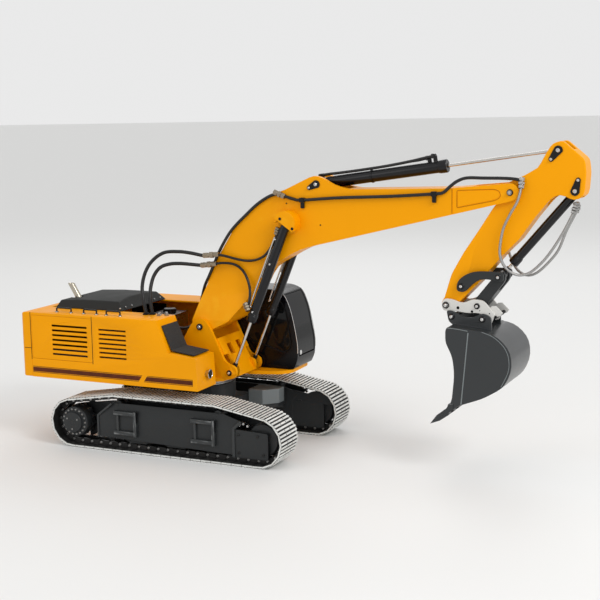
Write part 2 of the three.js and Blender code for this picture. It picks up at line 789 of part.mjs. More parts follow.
function addBoom() {
  const inside = [
    [24, 205],
    [44, 252, 14],
    [84, 314, 20],
    [134, 344],
    [240, 351],
    [420, 356],
    [420, 345],
    [334, 323],
    [163, 281, 14],
    [136, 267, 12],
    [108, 251, 12],
    [94, 224, 8],
    [80, 206],
    [58, 184],
    [32, 184],
  ];
  // Seen from the front, the boom flares out towards its foot.
  const flare = [
    [-BOOM_FOOT_HALF, 150],
    [BOOM_FOOT_HALF, 150],
    [BOOM_FOOT_HALF, 176],
    [BOOM_HALF, 222],
    [BOOM_HALF, 400],
    [-BOOM_HALF, 400],
    [-BOOM_HALF, 222],
    [-BOOM_FOOT_HALF, 176],
  ];
  const whole = side(BOOM_OUTLINE, -BOOM_FOOT_HALF, BOOM_FOOT_HALF).intersect(front(flare, 0, 480));
  const body = cut(whole, side(inside, -BOOM_HALF + 2.5, BOOM_HALF - 2.5));
  const tipSlot = side([[400, 300], [480, 300], [480, 390], [400, 390]], -STICK_HALF - 1, STICK_HALF + 1);
  const baseSlot = side([[158, 349], [232, 349], [252, 400], [158, 400]], -14, 14);
  const foot = crossBar(BOOM_FOOT, 10, -BOOM_FOOT_HALF, BOOM_FOOT_HALF);
  const bosses = crossBars(BOSS, 16, BOOM_HALF - 1, 39);
  const barrelWay = (y0, y1) =>
    join(
      crossBar(BOSS, 12, y0, y1),
      side([[140.5, 315], [163.5, 307], [160, 285], [120, 270], [118, 300]], y0, y1),
    );
  const capFlat = sidePair([[134, 321.5], [172, 295], [172, 270], [110, 270], [110, 300]], 36, 40);
  const basePin = crossBar(STICK_CYLINDER_BASE, 3.2, -16, 16);
  const barrelPins = crossBars(BOSS, 3.2, BOOM_HALF - 1, 37.5);
  const holes = join(crossBar(BOOM_FOOT, 4 + GAP, -40, 40), crossBar(BOOM_TIP, 4 + GAP, -30, 30));
  const hollowed = cut(body, tipSlot, baseSlot);
  const boom = cut(
    join(hollowed, foot, bosses),
    barrelWay(23.5, 36.2),
    barrelWay(-36.2, -23.5),
    capFlat,
    holes,
  );
  place("boom", join(boom, basePin, barrelPins), YELLOW);
  place("boom_foot_pin", headedPin(BOOM_FOOT, 4, 40.5, LUG_OUTER[1] + GAP, 42), STEEL);
}

// A pin across the machine, reaching to ±reach, with a head at each end from headFrom to headTo.
const headedPin = (where, radius, reach, headFrom, headTo) =>
  join(crossBar(where, radius, -reach, reach), crossBars(where, 5.5, headFrom, headTo));

// A point on the line between two places, at a distance from the first.
function along([x0, z0], [x1, z1], distance) {
  const length = Math.hypot(x1 - x0, z1 - z0);
  return [x0 + ((x1 - x0) * distance) / length, z0 + ((z1 - z0) * distance) / length];
}

// A cylinder's barrel with its eye, and its rod with its eye, from one pin to the other.
function addCylinder(names, size, base, end) {
  const { y, barrel, rod, eye, half, length, bore, rodBore, rodEye = eye } = size;
  const at = (distance) => {
    const [x, z] = along(base, end, distance);
    return [x, y, z];
  };
  const full = Math.hypot(end[0] - base[0], end[1] - base[1]);
  const tubeBody = join(
    bar(at(eye - 2), at(length), barrel),
    bar(at(length - 9), at(length), barrel + 1),
    crossBar(base, eye, y - half, y + half),
  );
  const hollow = bar(at(eye + 12), at(length + 1), rod + GAP);
  const pinHole = crossBar(base, bore + GAP, y - half - 1, y + half + 1);
  place(names[0], cut(tubeBody, hollow, pinHole), BLACK);

  const rodBody = join(
    bar(at(full - size.stroke), at(full - rodEye + 1), rod),
    crossBar(end, rodEye, y - half, y + half),
  );
  const rodHole = crossBar(end, rodBore, y - half - 1, y + half + 1);
  place(names[1], cut(rodBody, rodHole), CHROME);
}

function addBoomCylinders() {
  for (const [name, sign] of SIDES) {
    const size = {
      y: sign * BOOM_CYLINDER_Y,
      barrel: 6.2,
      rod: 2.1,
      eye: 6.2,
      half: 3.6,
      length: 146,
      stroke: 163,
      bore: 3.2,
      rodBore: 2.4,
      rodEye: 5.4,
    };
    addCylinder([`boom_cylinder_${name}`, `boom_rod_${name}`], size, BOSS, BOOM_ROD_EYE);
  }
}

// ---- Stick, bucket linkage and bucket ----

const STICK_OUTLINE = [
  [481, 386],
  [485, 392],
  [492, 405],
  [499, 415.5, 5],
  [511, 418.5, 3],
  [538, 396, 4],
  [540, 380, 5],
  [538, 352, 8],
  [526, 347, 5],
  [508, 355, 8],
  [497, 348, 6],
  [479, 326],
  [459, 298],
  [439, 278],
  [411, 245],
  [382, 215],
  [376, 204.5, 6],
  [361, 204, 7],
  [360, 216, 4],
  [364, 222],
  [373, 252, 6],
  [389, 280],
  [408, 308],
  [428, 339, 6],
  [437, 347, 5],
  [441, 366, 6],
  [466, 377, 6],
];

function addStick() {
  const inside = [
    [484, 372],
    [500, 372],
    [506, 362],
    [494, 352],
    [476, 330],
    [455, 301],
    [436, 282],
    [408, 249],
    [384, 224],
    [368, 224],
    [377, 251],
    [393, 278],
    [412, 306],
    [432, 338],
    [462, 340],
  ];
  const body = side(STICK_OUTLINE, -STICK_HALF, STICK_HALF);
  const hollow = side(inside, -STICK_HALF + 2.5, STICK_HALF - 2.5);
  const topSlot = side([[440, 392], [478, 378], [498, 392], [524, 396], [520, 440], [440, 440]], -8, 8);
  const lowSlot = side([[500, 362], [520, 372], [534.5, 372], [534.5, 320], [470, 300]], -8, 8);
  const endSlot = side([[350, 190], [400, 190], [400, 222], [350, 222]], -9, 9);
  const cylinderPin = crossBar(BUCKET_CYLINDER_TOP, 2.8, -STICK_HALF + 1, STICK_HALF - 1);
  const holes = join(
    crossBar(BOOM_TIP, 4 + GAP, -20, 20),
    crossBar(BUCKET_PIVOT, 3 + GAP, -20, 20),
    crossBar(ROCKER_PIVOT, 2.8 + GAP, -20, 20),
  );
  const bush = cut(crossBar(BOOM_TIP, 9, -STICK_HALF, STICK_HALF), crossBar(BOOM_TIP, 3, -9, 9));
  const stick = cut(join(cut(body, hollow), bush), topSlot, lowSlot, endSlot, holes);
  place("stick", join(stick, cylinderPin), YELLOW);
  place("stick_pin", headedPin(BOOM_TIP, 4, 22.5, BOOM_HALF + GAP, 23.5), STEEL);
}

function addStickCylinder() {
  const size = {
    y: 0,
    barrel: 7.6,
    rod: 2.1,
    eye: 8,
    half: 6.5,
    length: 174,
    stroke: 208,
    bore: 3.2,
    rodBore: 3,
    rodEye: 6.4,
  };
  addCylinder(["stick_cylinder", "stick_rod"], size, STICK_CYLINDER_BASE, STICK_TOP);
}

function addBucketCylinder() {
  const size = {
    y: 0,
    barrel: 5.6,
    rod: 2.1,
    eye: 6.5,
    half: 6,
    length: 121,
    stroke: 112,
    bore: 2.8,
    rodBore: 3,
    rodEye: 5.6,
  };
  addCylinder(["bucket_cylinder", "bucket_rod"], size, BUCKET_CYLINDER_TOP, ROCKER_PIN);
}

function addLinkage() {
  const lever = [
    [380, 238, 6],
    [382, 247, 5],
    [398, 259, 10],
    [418, 262, 8],
    [441, 257.5, 5],
    [443, 246, 5],
    [430, 244.5, 4],
    [410, 248, 10],
    [397, 239, 5],
    [393, 230, 5],
    [383, 230, 5],
  ];
  // The levers are joined by the pin through the stick; each carries a stub that the link turns on.
  const rocker = join(
    sidePair(lever, 17.3, 20.6),
    crossBar(ROCKER_PIVOT, 2.8, -21.5, 21.5),
    crossBars(ROCKER_PIN, 2.8, 7.4, 18),
  );
  place("rocker", rocker, GREY);

  const link = [
    [431, 255, 4],
    [441, 259, 6],
    [443, 247, 5],
    [415, 211, 4],
    [410, 207, 4],
    [401, 210, 4],
    [402, 219, 4],
  ];
  const body = cut(
    side(link, -14, 14),
    side([[422, 270], [450, 270], [450, 236], [428, 232], [419, 241]], -7, 7),
    crossBar(ROCKER_PIN, 2.8 + GAP, -20, 20),
    crossBar(LINK_PIN, 2.8 + GAP, -20, 20),
  );
  place("link", body, GREY);
  place("link_pin", crossBar(LINK_PIN, 2.8, -15, 15), STEEL);
}

const LINK_ROOM = 9.5; // clear of the link's lower end, which the couplings let stray a little

function addCoupler() {
  const plate = [
    [361, 213, 6],
    [364, 221, 5],
    [374, 221, 5],
    [389, 216, 6],
    [402, 222, 5],
    [416, 221, 5],
    [424, 212, 4],
    [431, 204],
    [426, 194, 3],
    [421, 191],
    [421, 201, 4],
    [410, 205, 5],
    [396, 204, 6],
    [378, 206, 6],
    [364, 205, 5],
  ];
  const plates = sidePair(plate, 15.4, 18.8);
  const bridge = box(384, 404, -17, 17, 206, 211);
  const lockEar = [[420, 206], [432, 213], [441, 207], [438, 200], [424, 200]];
  const lockPlates = sidePair(lockEar, 15.4, 18.8);
  const lockBar = crossBar([435, 206], 3.2, -17, 17);
  const made = cut(
    join(plates, bridge, lockPlates, lockBar),
    crossBar(BUCKET_PIVOT, 3 + GAP, -30, 30),
    crossBar(LINK_PIN, LINK_ROOM, -15.3, 15.3),
  );
  place("coupler", made, WHITE);
  place("coupler_pin", headedPin(BUCKET_PIVOT, 3, 20, 18.8 + GAP, 21), STEEL);
}

function addBucket() {
  const sheet = [
    [378, 190, 2],
    [392, 189, 3],
    [420, 186.5, 8],
    [440, 183, 12],
    [458, 166, 12],
    [461, 141, 12],
    [450, 118, 10],
    [424, 102, 10],
    [392, 90],
    [378, 78],
    [384, 100],
    [387, 130, 10],
    [384, 153, 8],
    [375, 170, 6],
    [375, 186, 3],
  ];
  const space = [
    [370, 186.5],
    [392, 185.5, 3],
    [419, 183, 8],
    [438, 180, 12],
    [455, 164.5, 12],
    [458, 141, 12],
    [448, 120.5, 10],
    [423, 105, 10],
    [391, 93.2],
    [378, 82],
    [360, 100],
  ];
  const ear = [
    [369, 207, 3],
    [372, 193, 3],
    [380, 187],
    [428, 183],
    [427, 201, 4],
    [416, 206, 5],
    [404, 199, 6],
    [390, 199, 6],
    [380, 206, 5],
  ];
  const edgeCut = box(350, 386, -46, 46, 60, 92);
  const innerHalf = BUCKET_HALF - 2.5;
  const shell = cut(side(sheet, -BUCKET_HALF, BUCKET_HALF, 3), side(space, -innerHalf, innerHalf, 3));
  const ears = cut(sidePair(ear, 19.1, 22.6), side(space, -30, 30));
  const pins = EAR_PINS.map((where) => crossBar(where, 2.8, -24, 24));
  place("bucket", join(cut(shell, edgeCut), ears, ...pins), GREY);

  const lip = side(
    [[385.7, 91.6], [385.7, 84.8], [371, 73.5], [370, 76], [378, 88], [379, 91.6]],
    -BUCKET_HALF,
    BUCKET_HALF,
  );
  const tooth = [[380, 88], [380, 77.5], [368, 69], [355, 64], [364, 76]];
  const teeth = [];
  for (let i = -2; i <= 2; i += 1) {
    const middle = TOOTH_SPACING * i;
    teeth.push(side(tooth, middle - TOOTH_HALF, middle + TOOTH_HALF));
  }
  place("cutting_edge", join(lip, ...teeth), GREY);
}

// ---- Hoses ----

const HOSE_R = 2.1;
const BRAID_R = 1.7;

function addHoses() {
  const upper = [
    [-46, -67, 185.5],
    [-50, -66, 204],
    [-54, -62, 221],
    [-53, -55, 240],
    [-46, -47, 256],
    [-32, -38, 267],
    [-12, -31.5, 269],
    [5, -28.6, 267],
    [14, -28.6, 264],
  ];
  const lower = [
    [-38, -64, 185.5],
    [-41, -63, 204],
    [-43, -58, 220],
    [-42, -50, 236],
    [-36, -42, 247],
    [-26, -34, 251],
    [-12, -31, 252],
    [0, -28.6, 250.5],
    [9, -28.6, 248],
  ];
  place("feed_hose_upper", tube(upper, HOSE_R, 18), RUBBER);
  place("feed_hose_lower", tube(lower, HOSE_R, 16), RUBBER);
  const boomRoute = [
    [4.5, -23.6, 190],
    [13, -23.6, 212],
    [24, -23.6, 234],
    [36, -23.6, 256],
    [49, -23.6, 279],
    [66, -23.6, 303],
    [86, -23.6, 323],
    [106, -23.6, 338],
    [125, -23.6, 347],
    [137, -23.8, 349],
    [149, -24, 346],
    [160, -24, 343],
    [172, -24, 342],
    [226, -24, 346],
    [295, -24, 349],
    [353, -24, 353],
    [367, -23.8, 357],
  ];
  place("boom_hose", tube(boomRoute, HOSE_R, 30), RUBBER);
  for (const [name, sign] of SIDES) {
    const slack = sign > 0 ? 3 : 0; // the far hose hangs lower
    const points = [
      [463, 18, 372],
      [462.5, 22.5, 358],
      [459, 23.8, 345],
      [451, 23.6, 331],
      [442, 22, 313],
      [438, 21, 295],
      [437, 20, 280],
      [441 + slack, 18, 267 - slack],
      [449 + slack, 15, 258 - slack],
      [460 + slack, 12, 254 - slack],
      [473 + slack, 9, 258 - slack],
      [488 + slack, 8, 272 - slack],
      [500 + slack, 8, 288 - slack],
      [512, 8, 308],
      [522, 8, 328],
    ];
    const route = points.map(([x, y, z]) => [x, sign * y, z]);
    place(`braided_hose_${name}`, tube(route, BRAID_R, 24), BRAID);
  }
}

// ---- Assembly ----

for (const [name, sign] of SIDES) {
  addTrackFrame(name, sign);
  addTrack(name, sign);
  addSprocket(name, sign);
  addIdler(name, sign);
  for (const end of Object.keys(CARRIER_X)) addCarrierRoller(end, name, sign);
}
addCentreFrame();
addSlewing();
addMainDeck();
addRightBody();
addLeftBody();
addCounterweight();
addEngineHood();
addInsides();
addTrim();
addCab();
addBoom();
addBoomCylinders();
addStickCylinder();
addStick();
addBucketCylinder();
addLinkage();
addCoupler();
addBucket();
addHoses();

const bounds = new THREE.Box3().setFromObject(machine);
const middle = bounds.getCenter(new THREE.Vector3());
machine.position.set(-middle.x, -middle.y, -bounds.min.z);

export default machine;
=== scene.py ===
# The looks of a 1:14 radio-controlled hydraulic excavator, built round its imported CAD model.
# Sizes are in millimetres, measured as the machine is: x forwards and y left from the slewing axis,
# z up from the ground. machine() turns them into the frame's metres.
import json
import math

import bmesh
import bpy
from mathutils import Matrix, Vector


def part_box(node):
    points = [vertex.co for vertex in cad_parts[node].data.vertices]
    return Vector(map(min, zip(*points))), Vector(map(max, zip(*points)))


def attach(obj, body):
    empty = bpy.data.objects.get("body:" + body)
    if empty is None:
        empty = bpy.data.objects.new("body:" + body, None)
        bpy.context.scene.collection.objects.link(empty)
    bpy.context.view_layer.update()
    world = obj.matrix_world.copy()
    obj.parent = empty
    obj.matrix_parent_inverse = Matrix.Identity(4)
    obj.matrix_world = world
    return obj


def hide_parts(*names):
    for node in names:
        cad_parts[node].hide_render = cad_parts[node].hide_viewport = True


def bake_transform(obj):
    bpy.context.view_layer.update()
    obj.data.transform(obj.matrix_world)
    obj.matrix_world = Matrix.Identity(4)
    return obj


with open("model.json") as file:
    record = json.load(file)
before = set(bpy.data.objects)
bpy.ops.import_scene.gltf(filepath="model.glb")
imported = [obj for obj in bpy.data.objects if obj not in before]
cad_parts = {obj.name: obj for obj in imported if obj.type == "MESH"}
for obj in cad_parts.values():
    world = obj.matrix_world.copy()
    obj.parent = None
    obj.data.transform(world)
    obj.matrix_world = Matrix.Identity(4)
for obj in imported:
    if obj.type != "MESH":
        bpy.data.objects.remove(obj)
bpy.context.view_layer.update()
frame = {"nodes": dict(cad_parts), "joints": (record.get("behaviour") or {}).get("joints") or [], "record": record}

MM = 0.001
SIDES = (("right", -1), ("left", 1))
JOINTS = {joint["name"]: joint for joint in frame["joints"]}
SLEW_X = JOINTS["slew_joint"]["pos_m"][0]


def machine(x, y, z):
    """A place in the machine's millimetres, as a point in the frame's metres."""
    return Vector((SLEW_X + x * MM, y * MM, z * MM))


def body_place(joint_name):
    """A hinge's place in the machine's millimetres."""
    x, y, z = JOINTS[joint_name]["pos_m"]
    return (x - SLEW_X) / MM, y / MM, z / MM


# ---- Materials ----

def new_material(name, color, roughness, metallic=0.0, coat=0.0, level=0.5):
    """A material with its shader's constants set, its node tree and that shader."""
    material = bpy.data.materials.new(name)
    material.use_nodes = True
    shader = material.node_tree.nodes["Principled BSDF"]
    constants = {
        "Base Color": (*color, 1), "Roughness": roughness, "Metallic": metallic,
        "Coat Weight": coat, "Coat Roughness": 0.08, "Specular IOR Level": level,
    }
    for socket, value in constants.items():
        shader.inputs[socket].default_value = value
    return material, material.node_tree, shader


def add_node(tree, kind, **values):
    """A node with its sockets set by name, spaces written as underscores; another node's output is linked."""
    node = tree.nodes.new(kind)
    for name, value in values.items():
        socket = node.inputs[name.replace("_", " ")]
        if hasattr(value, "is_output"):
            tree.links.new(value, socket)
        else:
            socket.default_value = value
    return node


def object_space(tree, **mapping):
    """Object coordinates, turned by a mapping node where one is asked for."""
    coordinates = tree.nodes.new("ShaderNodeTexCoord").outputs["Object"]
    if mapping:
        return add_node(tree, "ShaderNodeMapping", Vector=coordinates, **mapping).outputs["Vector"]
    return coordinates


def noise(tree, scale, detail=4.0):
    space = object_space(tree)
    node = add_node(tree, "ShaderNodeTexNoise", Vector=space, Scale=scale, Detail=detail, Roughness=0.55)
    return node.outputs["Fac"]


def remap(tree, value, low, high, to_low, to_high):
    node = add_node(
        tree, "ShaderNodeMapRange", Value=value, From_Min=low, From_Max=high, To_Min=to_low, To_Max=to_high
    )
    return node.outputs["Result"]


def combined(tree, operation, first, second):
    node = tree.nodes.new("ShaderNodeMath")
    node.operation = operation
    tree.links.new(first, node.inputs[0])
    tree.links.new(second, node.inputs[1])
    return node.outputs[0]


def mixed(tree, factor, color_a, color_b):
    node = tree.nodes.new("ShaderNodeMix")
    node.data_type = "RGBA"
    tree.links.new(factor, node.inputs[0])
    for socket, color in ((node.inputs[6], color_a), (node.inputs[7], color_b)):
        if hasattr(color, "is_output"):
            tree.links.new(color, socket)
        else:
            socket.default_value = (*color, 1)
    return node.outputs[2]


def bump(tree, shader, height, strength, distance):
    node = add_node(tree, "ShaderNodeBump", Height=height, Strength=strength, Distance=distance)
    tree.links.new(node.outputs["Normal"], shader.inputs["Normal"])


def shade(color, factor):
    return tuple(min(1.0, channel * factor) for channel in color)


def painted(name, color, roughness, coat=0.0, worn=None, peel=0.12, dust=0.0, level=0.5):
    """Paint: slow colour drift, orange peel, uneven gloss, and edges rubbed lighter."""
    material, tree, shader = new_material(name, color, roughness, coat=coat, level=level)
    drift = remap(tree, noise(tree, 9.0), 0.3, 0.7, 0.0, 1.0)
    tone = mixed(tree, drift, shade(color, 0.975), shade(color, 1.02))
    pointed = tree.nodes.new("ShaderNodeNewGeometry").outputs["Pointiness"]
    rubbed = remap(tree, pointed, 0.57, 0.64, 0.0, 0.75)
    patchy = remap(tree, noise(tree, 90.0), 0.42, 0.62, 0.0, 1.0)
    edge = combined(tree, "MULTIPLY", rubbed, patchy)
    tone = mixed(tree, edge, tone, worn or shade(color, 1.5))
    if dust:
        specks = remap(tree, noise(tree, 420.0, detail=2.0), 0.62, 0.8, 0.0, dust)
        tone = mixed(tree, specks, tone, (0.4, 0.38, 0.35))
    tree.links.new(tone, shader.inputs["Base Color"])
    gloss = remap(tree, noise(tree, 35.0), 0.3, 0.7, roughness * 0.95, roughness * 1.07)
    tree.links.new(gloss, shader.inputs["Roughness"])
    bump(tree, shader, noise(tree, 900.0, detail=2.0), peel, 0.0002)
    return material


def metal(name, color, roughness, scale=400.0, grime=None, strength=0.15, metallic=1.0):
    """Bare metal with a fine grain and, in grime, a darker film in patches."""
    material, tree, shader = new_material(name, color, roughness, metallic=metallic)
    grain = noise(tree, scale, detail=3.0)
    gloss = remap(tree, grain, 0.3, 0.7, roughness * 0.7, roughness * 1.35)
    tree.links.new(gloss, shader.inputs["Roughness"])
    film = remap(tree, noise(tree, 60.0), 0.35, 0.7, 0.0, 1.0)
    tree.links.new(mixed(tree, film, color, grime or shade(color, 0.8)), shader.inputs["Base Color"])
    bump(tree, shader, grain, strength, 0.0001)
    return material


def rubber(name, color, roughness=0.5, scale=700.0, level=0.3):
    material, tree, shader = new_material(name, color, roughness, level=level)
    grain = noise(tree, scale, detail=3.0)
    tone = mixed(tree, remap(tree, noise(tree, 30.0), 0.3, 0.7, 0, 1), color, shade(color, 1.6))
    tree.links.new(tone, shader.inputs["Base Color"])
    gloss = remap(tree, grain, 0.3, 0.7, roughness * 0.8, roughness * 1.25)
    tree.links.new(gloss, shader.inputs["Roughness"])
    bump(tree, shader, grain, 0.2, 0.0002)
    return material


def gritty(name):
    """The anti-slip mat: black grit with pale grains."""
    material, tree, shader = new_material(name, (0.03, 0.03, 0.03), 0.85)
    cells = add_node(tree, "ShaderNodeTexVoronoi", Vector=object_space(tree), Scale=1100.0)
    grains = remap(tree, cells.outputs["Distance"], 0.0, 0.35, 1.0, 0.0)
    tone = mixed(tree, grains, (0.022, 0.022, 0.022), (0.085, 0.085, 0.085))
    tree.links.new(tone, shader.inputs["Base Color"])
    bump(tree, shader, grains, 0.9, 0.0004)
    return material


def braided(name, color):
    """Steel braid over a hose: two crossing sets of fine wires."""
    material, tree, shader = new_material(name, color, 0.38, metallic=0.85)
    waves = []
    for angle in (0.9, -0.9):
        space = object_space(tree, Rotation=(0.0, angle, 0.0))
        wave = add_node(tree, "ShaderNodeTexWave", Vector=space, Scale=420.0, Distortion=0.4)
        waves.append(wave.outputs["Fac"])
    height = combined(tree, "MAXIMUM", *waves)
    tree.links.new(mixed(tree, height, shade(color, 0.3), color), shader.inputs["Base Color"])
    bump(tree, shader, height, 0.6, 0.0003)
    return material


def glazing(name):
    material, tree, shader = new_material(name, (0.006, 0.0065, 0.007), 0.04, level=0.16)
    shader.inputs["Transmission Weight"].default_value = 0.12
    smears = remap(tree, noise(tree, 25.0), 0.35, 0.75, 0.03, 0.10)
    tree.links.new(smears, shader.inputs["Roughness"])
    return material


YELLOW = painted("yellow_paint", (0.88, 0.345, 0.0), 0.36, worn=(0.90, 0.39, 0.005), level=0.1)
# A darker yellow: painted shadow for the grooves round the boom's relief panel.
GROOVE_SHADOW = painted("painted_groove_shadow", (0.42, 0.135, 0.0), 0.5, peel=0.05, level=0.1)
GREY = painted(
    "grey_paint", (0.024, 0.026, 0.027), 0.40, worn=(0.10, 0.105, 0.11), peel=0.2, dust=0.02, level=0.28
)
STEP_GREY = painted("step_paint", (0.032, 0.035, 0.036), 0.36, worn=(0.25, 0.26, 0.26), peel=0.2, level=0.4)
# Pale grey paint for the arm cover; also the painted highlight along the bucket's weld lines.
PALE_GREY_AND_HIGHLIGHT = painted(
    "pale_grey_paint_and_highlight", (0.17, 0.19, 0.195), 0.36, worn=(0.3, 0.31, 0.32), peel=0.2, level=0.45
)
HOOD_GREY = painted("hood_paint", (0.026, 0.027, 0.026), 0.6, worn=(0.09, 0.09, 0.09), peel=0.2, level=0.12)
BUCKET_GREY = painted(
    "bucket_paint", (0.026, 0.029, 0.031), 0.3, coat=0.1, worn=(0.13, 0.135, 0.14), peel=0.1, level=0.35
)
BLACK = painted(
    "black_paint", (0.005, 0.005, 0.006), 0.22, coat=0.1, worn=(0.03, 0.03, 0.03), peel=0.1, level=0.25
)
CAB_BLACK = painted(
    "cab_plastic", (0.003, 0.003, 0.004), 0.16, coat=0.05, worn=(0.02, 0.02, 0.02), peel=0.03, level=0.15
)
MATT_BLACK = rubber("matt_black", (0.004, 0.004, 0.004), 0.6, level=0.15)
BARREL = painted(
    "cylinder_black", (0.004, 0.004, 0.005), 0.25, coat=0.1, worn=(0.02, 0.02, 0.02), peel=0.05, level=0.3
)
WHITE = painted("white_paint", (0.66, 0.65, 0.62), 0.4, worn=(0.8, 0.8, 0.78), dust=0.2)
BROWN = painted("stripe_brown", (0.085, 0.018, 0.004), 0.4, peel=0.05, level=0.15)
SHOE_STEEL = metal(
    "shoe_steel", (0.80, 0.81, 0.78), 0.45, grime=(0.66, 0.665, 0.64), strength=0.2, metallic=0.2
)
# Dark steel for the chain, rollers and bolts; also the painted shade in the track shoes' grooves.
DARK_STEEL_AND_GROOVE_SHADE = metal("dark_steel_and_groove_shade", (0.035, 0.034, 0.033), 0.45, grime=(0.018, 0.0175, 0.017), metallic=0.5)
STEEL = metal("turned_steel", (0.38, 0.375, 0.365), 0.3)
# Bright steel for screws and bolts; also the painted highlight along the cab's front pillars.
BRIGHT_STEEL_AND_HIGHLIGHT = metal("bright_steel_and_highlight", (0.72, 0.71, 0.70), 0.2, scale=900.0, strength=0.05)
CHROME = metal("chrome", (0.62, 0.60, 0.57), 0.12, scale=1500.0, grime=(0.55, 0.53, 0.50), strength=0.03)
DULL_CHROME = metal(
    "exhaust_chrome", (0.50, 0.46, 0.38), 0.24, scale=120.0, grime=(0.42, 0.38, 0.31), strength=0.0
)
BRASS = metal("coupling_steel", (0.33, 0.28, 0.21), 0.3)
HOSE = rubber("hose_rubber", (0.006, 0.006, 0.006), 0.3, level=0.4)
BRAID = braided("steel_braid", (0.46, 0.455, 0.445))
MAT = gritty("anti_slip")
GLASS = glazing("tinted_glass")


# ---- Meshes ----

UP = (0, 0, 1)
ACROSS = (0, 1, 0)
AHEAD = (1, 0, 0)


def place(name, mesh, material, body, replaced=(), smooth=32.0):
    """Puts a finished bmesh, in metres, into the scene as a piece that rides on a body, if one is given."""
    bmesh.ops.recalc_face_normals(mesh, faces=mesh.faces)
    data = bpy.data.meshes.new(name)
    mesh.to_mesh(data)
    mesh.free()
    data.shade_smooth()
    data.set_sharp_from_angle(angle=math.radians(smooth))
    piece = bpy.data.objects.new(name, data)
    bpy.context.scene.collection.objects.link(piece)
    data.materials.append(material)
    if body:
        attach(piece, body)
    if replaced:
        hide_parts(*replaced)
    return piece


def rounded(piece, width, segments=2, angle=28.0, clamp=False):
    """Rounds the piece's edges over, as cast, folded or moulded edges are.

    A piece with very short edges is clamped, or the corners there would grow into spikes.
    """
    edge = piece.modifiers.new("edges", "BEVEL")
    edge.width = width * MM
    edge.segments = segments
    edge.limit_method = "ANGLE"
    edge.angle_limit = math.radians(angle)
    edge.use_clamp_overlap = clamp
    edge.harden_normals = True
    edge.miter_outer = "MITER_ARC"
    return piece


def cad_mesh(node, whole=True):
    """A CAD node's own shape, if whole with its flat faces made of one piece again."""
    mesh = bmesh.new()
    mesh.from_mesh(frame["nodes"][node].data)
    bmesh.ops.remove_doubles(mesh, verts=mesh.verts, dist=0.004 * MM)
    if whole:
        bmesh.ops.dissolve_limit(mesh, angle_limit=math.radians(0.8), verts=mesh.verts, edges=mesh.edges)
    return mesh


BODY_OF = {
    node: body for body, nodes in frame["record"]["behaviour"]["bodies"].items() for node in nodes
}


def refined(node, material, width, segments=2, smooth=32.0, mesh=None, clamp=False):
    """A CAD node carried over with rounded edges and a real finish."""
    piece = place(f"{node}_skin", mesh or cad_mesh(node), material, BODY_OF[node], [node], smooth)
    return rounded(piece, width, segments, clamp=clamp)


def turned(profile, start, axis, mesh=None, sides=40):
    """Adds a turned solid: profile is (radius, distance along the axis), in millimetres."""
    mesh = mesh or bmesh.new()
    along = Vector(axis).normalized()
    across = along.orthogonal().normalized()
    up = along.cross(across)
    origin = machine(*start)
    rings = []
    for radius, distance in profile:
        centre = origin + along * distance * MM
        if radius == 0:
            rings.append([mesh.verts.new(centre)])
            continue
        ring = []
        for i in range(sides):
            angle = 2 * math.pi * i / sides
            spoke = across * math.cos(angle) + up * math.sin(angle)
            ring.append(mesh.verts.new(centre + spoke * radius * MM))
        rings.append(ring)
    for lower, upper in zip(rings, rings[1:]):
        for i in range(sides):
            j = (i + 1) % sides
            around = ((lower, i), (lower, j), (upper, j), (upper, i))
            unique = list(dict.fromkeys(ring[k % len(ring)] for ring, k in around))
            if len(unique) > 2:
                mesh.faces.new(unique)
    for ring in (rings[0], rings[-1]):
        if len(ring) > 2:
            mesh.faces.new(ring)
    return mesh


def smooth_curve(points, steps=6):
    """Catmull-Rom points through a given route."""
    ends = [points[0] * 2 - points[1]] + list(points) + [points[-1] * 2 - points[-2]]
    made = []
    for i in range(1, len(ends) - 2):
        a, b, c, d = ends[i - 1:i + 3]
        for k in range(steps):
            t = k / steps
            made.append(
                0.5 * (2 * b + (c - a) * t + (2 * a - 5 * b + 4 * c - d) * t * t
                       + (3 * b - a - 3 * c + d) * t ** 3)
            )
    made.append(points[-1].copy())
    return made


def swept(points, radius, mesh=None, sides=14, steps=6):
    """Adds a round tube along a smooth route, in machine millimetres."""
    mesh = mesh or bmesh.new()
    path = smooth_curve([machine(*point) for point in points], steps)
    normal = (path[1] - path[0]).orthogonal().normalized()
    rings = []
    for i, point in enumerate(path):
        before = path[max(i - 1, 0)]
        after = path[min(i + 1, len(path) - 1)]
        tangent = (after - before).normalized()
        normal = (normal - tangent * normal.dot(tangent)).normalized()
        side = tangent.cross(normal)
        ring = []
        for k in range(sides):
            angle = 2 * math.pi * k / sides
            spoke = normal * math.cos(angle) + side * math.sin(angle)
            ring.append(mesh.verts.new(point + spoke * radius * MM))
        rings.append(ring)
    for lower, upper in zip(rings, rings[1:]):
        for k in range(sides):
            j = (k + 1) % sides
            mesh.faces.new([lower[k], lower[j], upper[j], upper[k]])
    mesh.faces.new(rings[0])
    mesh.faces.new(rings[-1])
    return mesh


def slab(outline, y0, y1, mesh=None, frame_axes="xz"):
    """Adds an outline extruded across the machine (xz), upwards (xy) or forwards (yz)."""
    mesh = mesh or bmesh.new()
    lift = {
        "xz": lambda u, v, w: machine(u, w, v),
        "xy": lambda u, v, w: machine(u, v, w),
        "yz": lambda u, v, w: machine(w, u, v),
    }[frame_axes]
    rings = [[mesh.verts.new(lift(u, v, w)) for u, v in outline] for w in (y0, y1)]
    mesh.faces.new(rings[0])
    mesh.faces.new(rings[1][::-1])
    count = len(outline)
    for i in range(count):
        j = (i + 1) % count
        mesh.faces.new([rings[0][i], rings[0][j], rings[1][j], rings[1][i]])
    return mesh


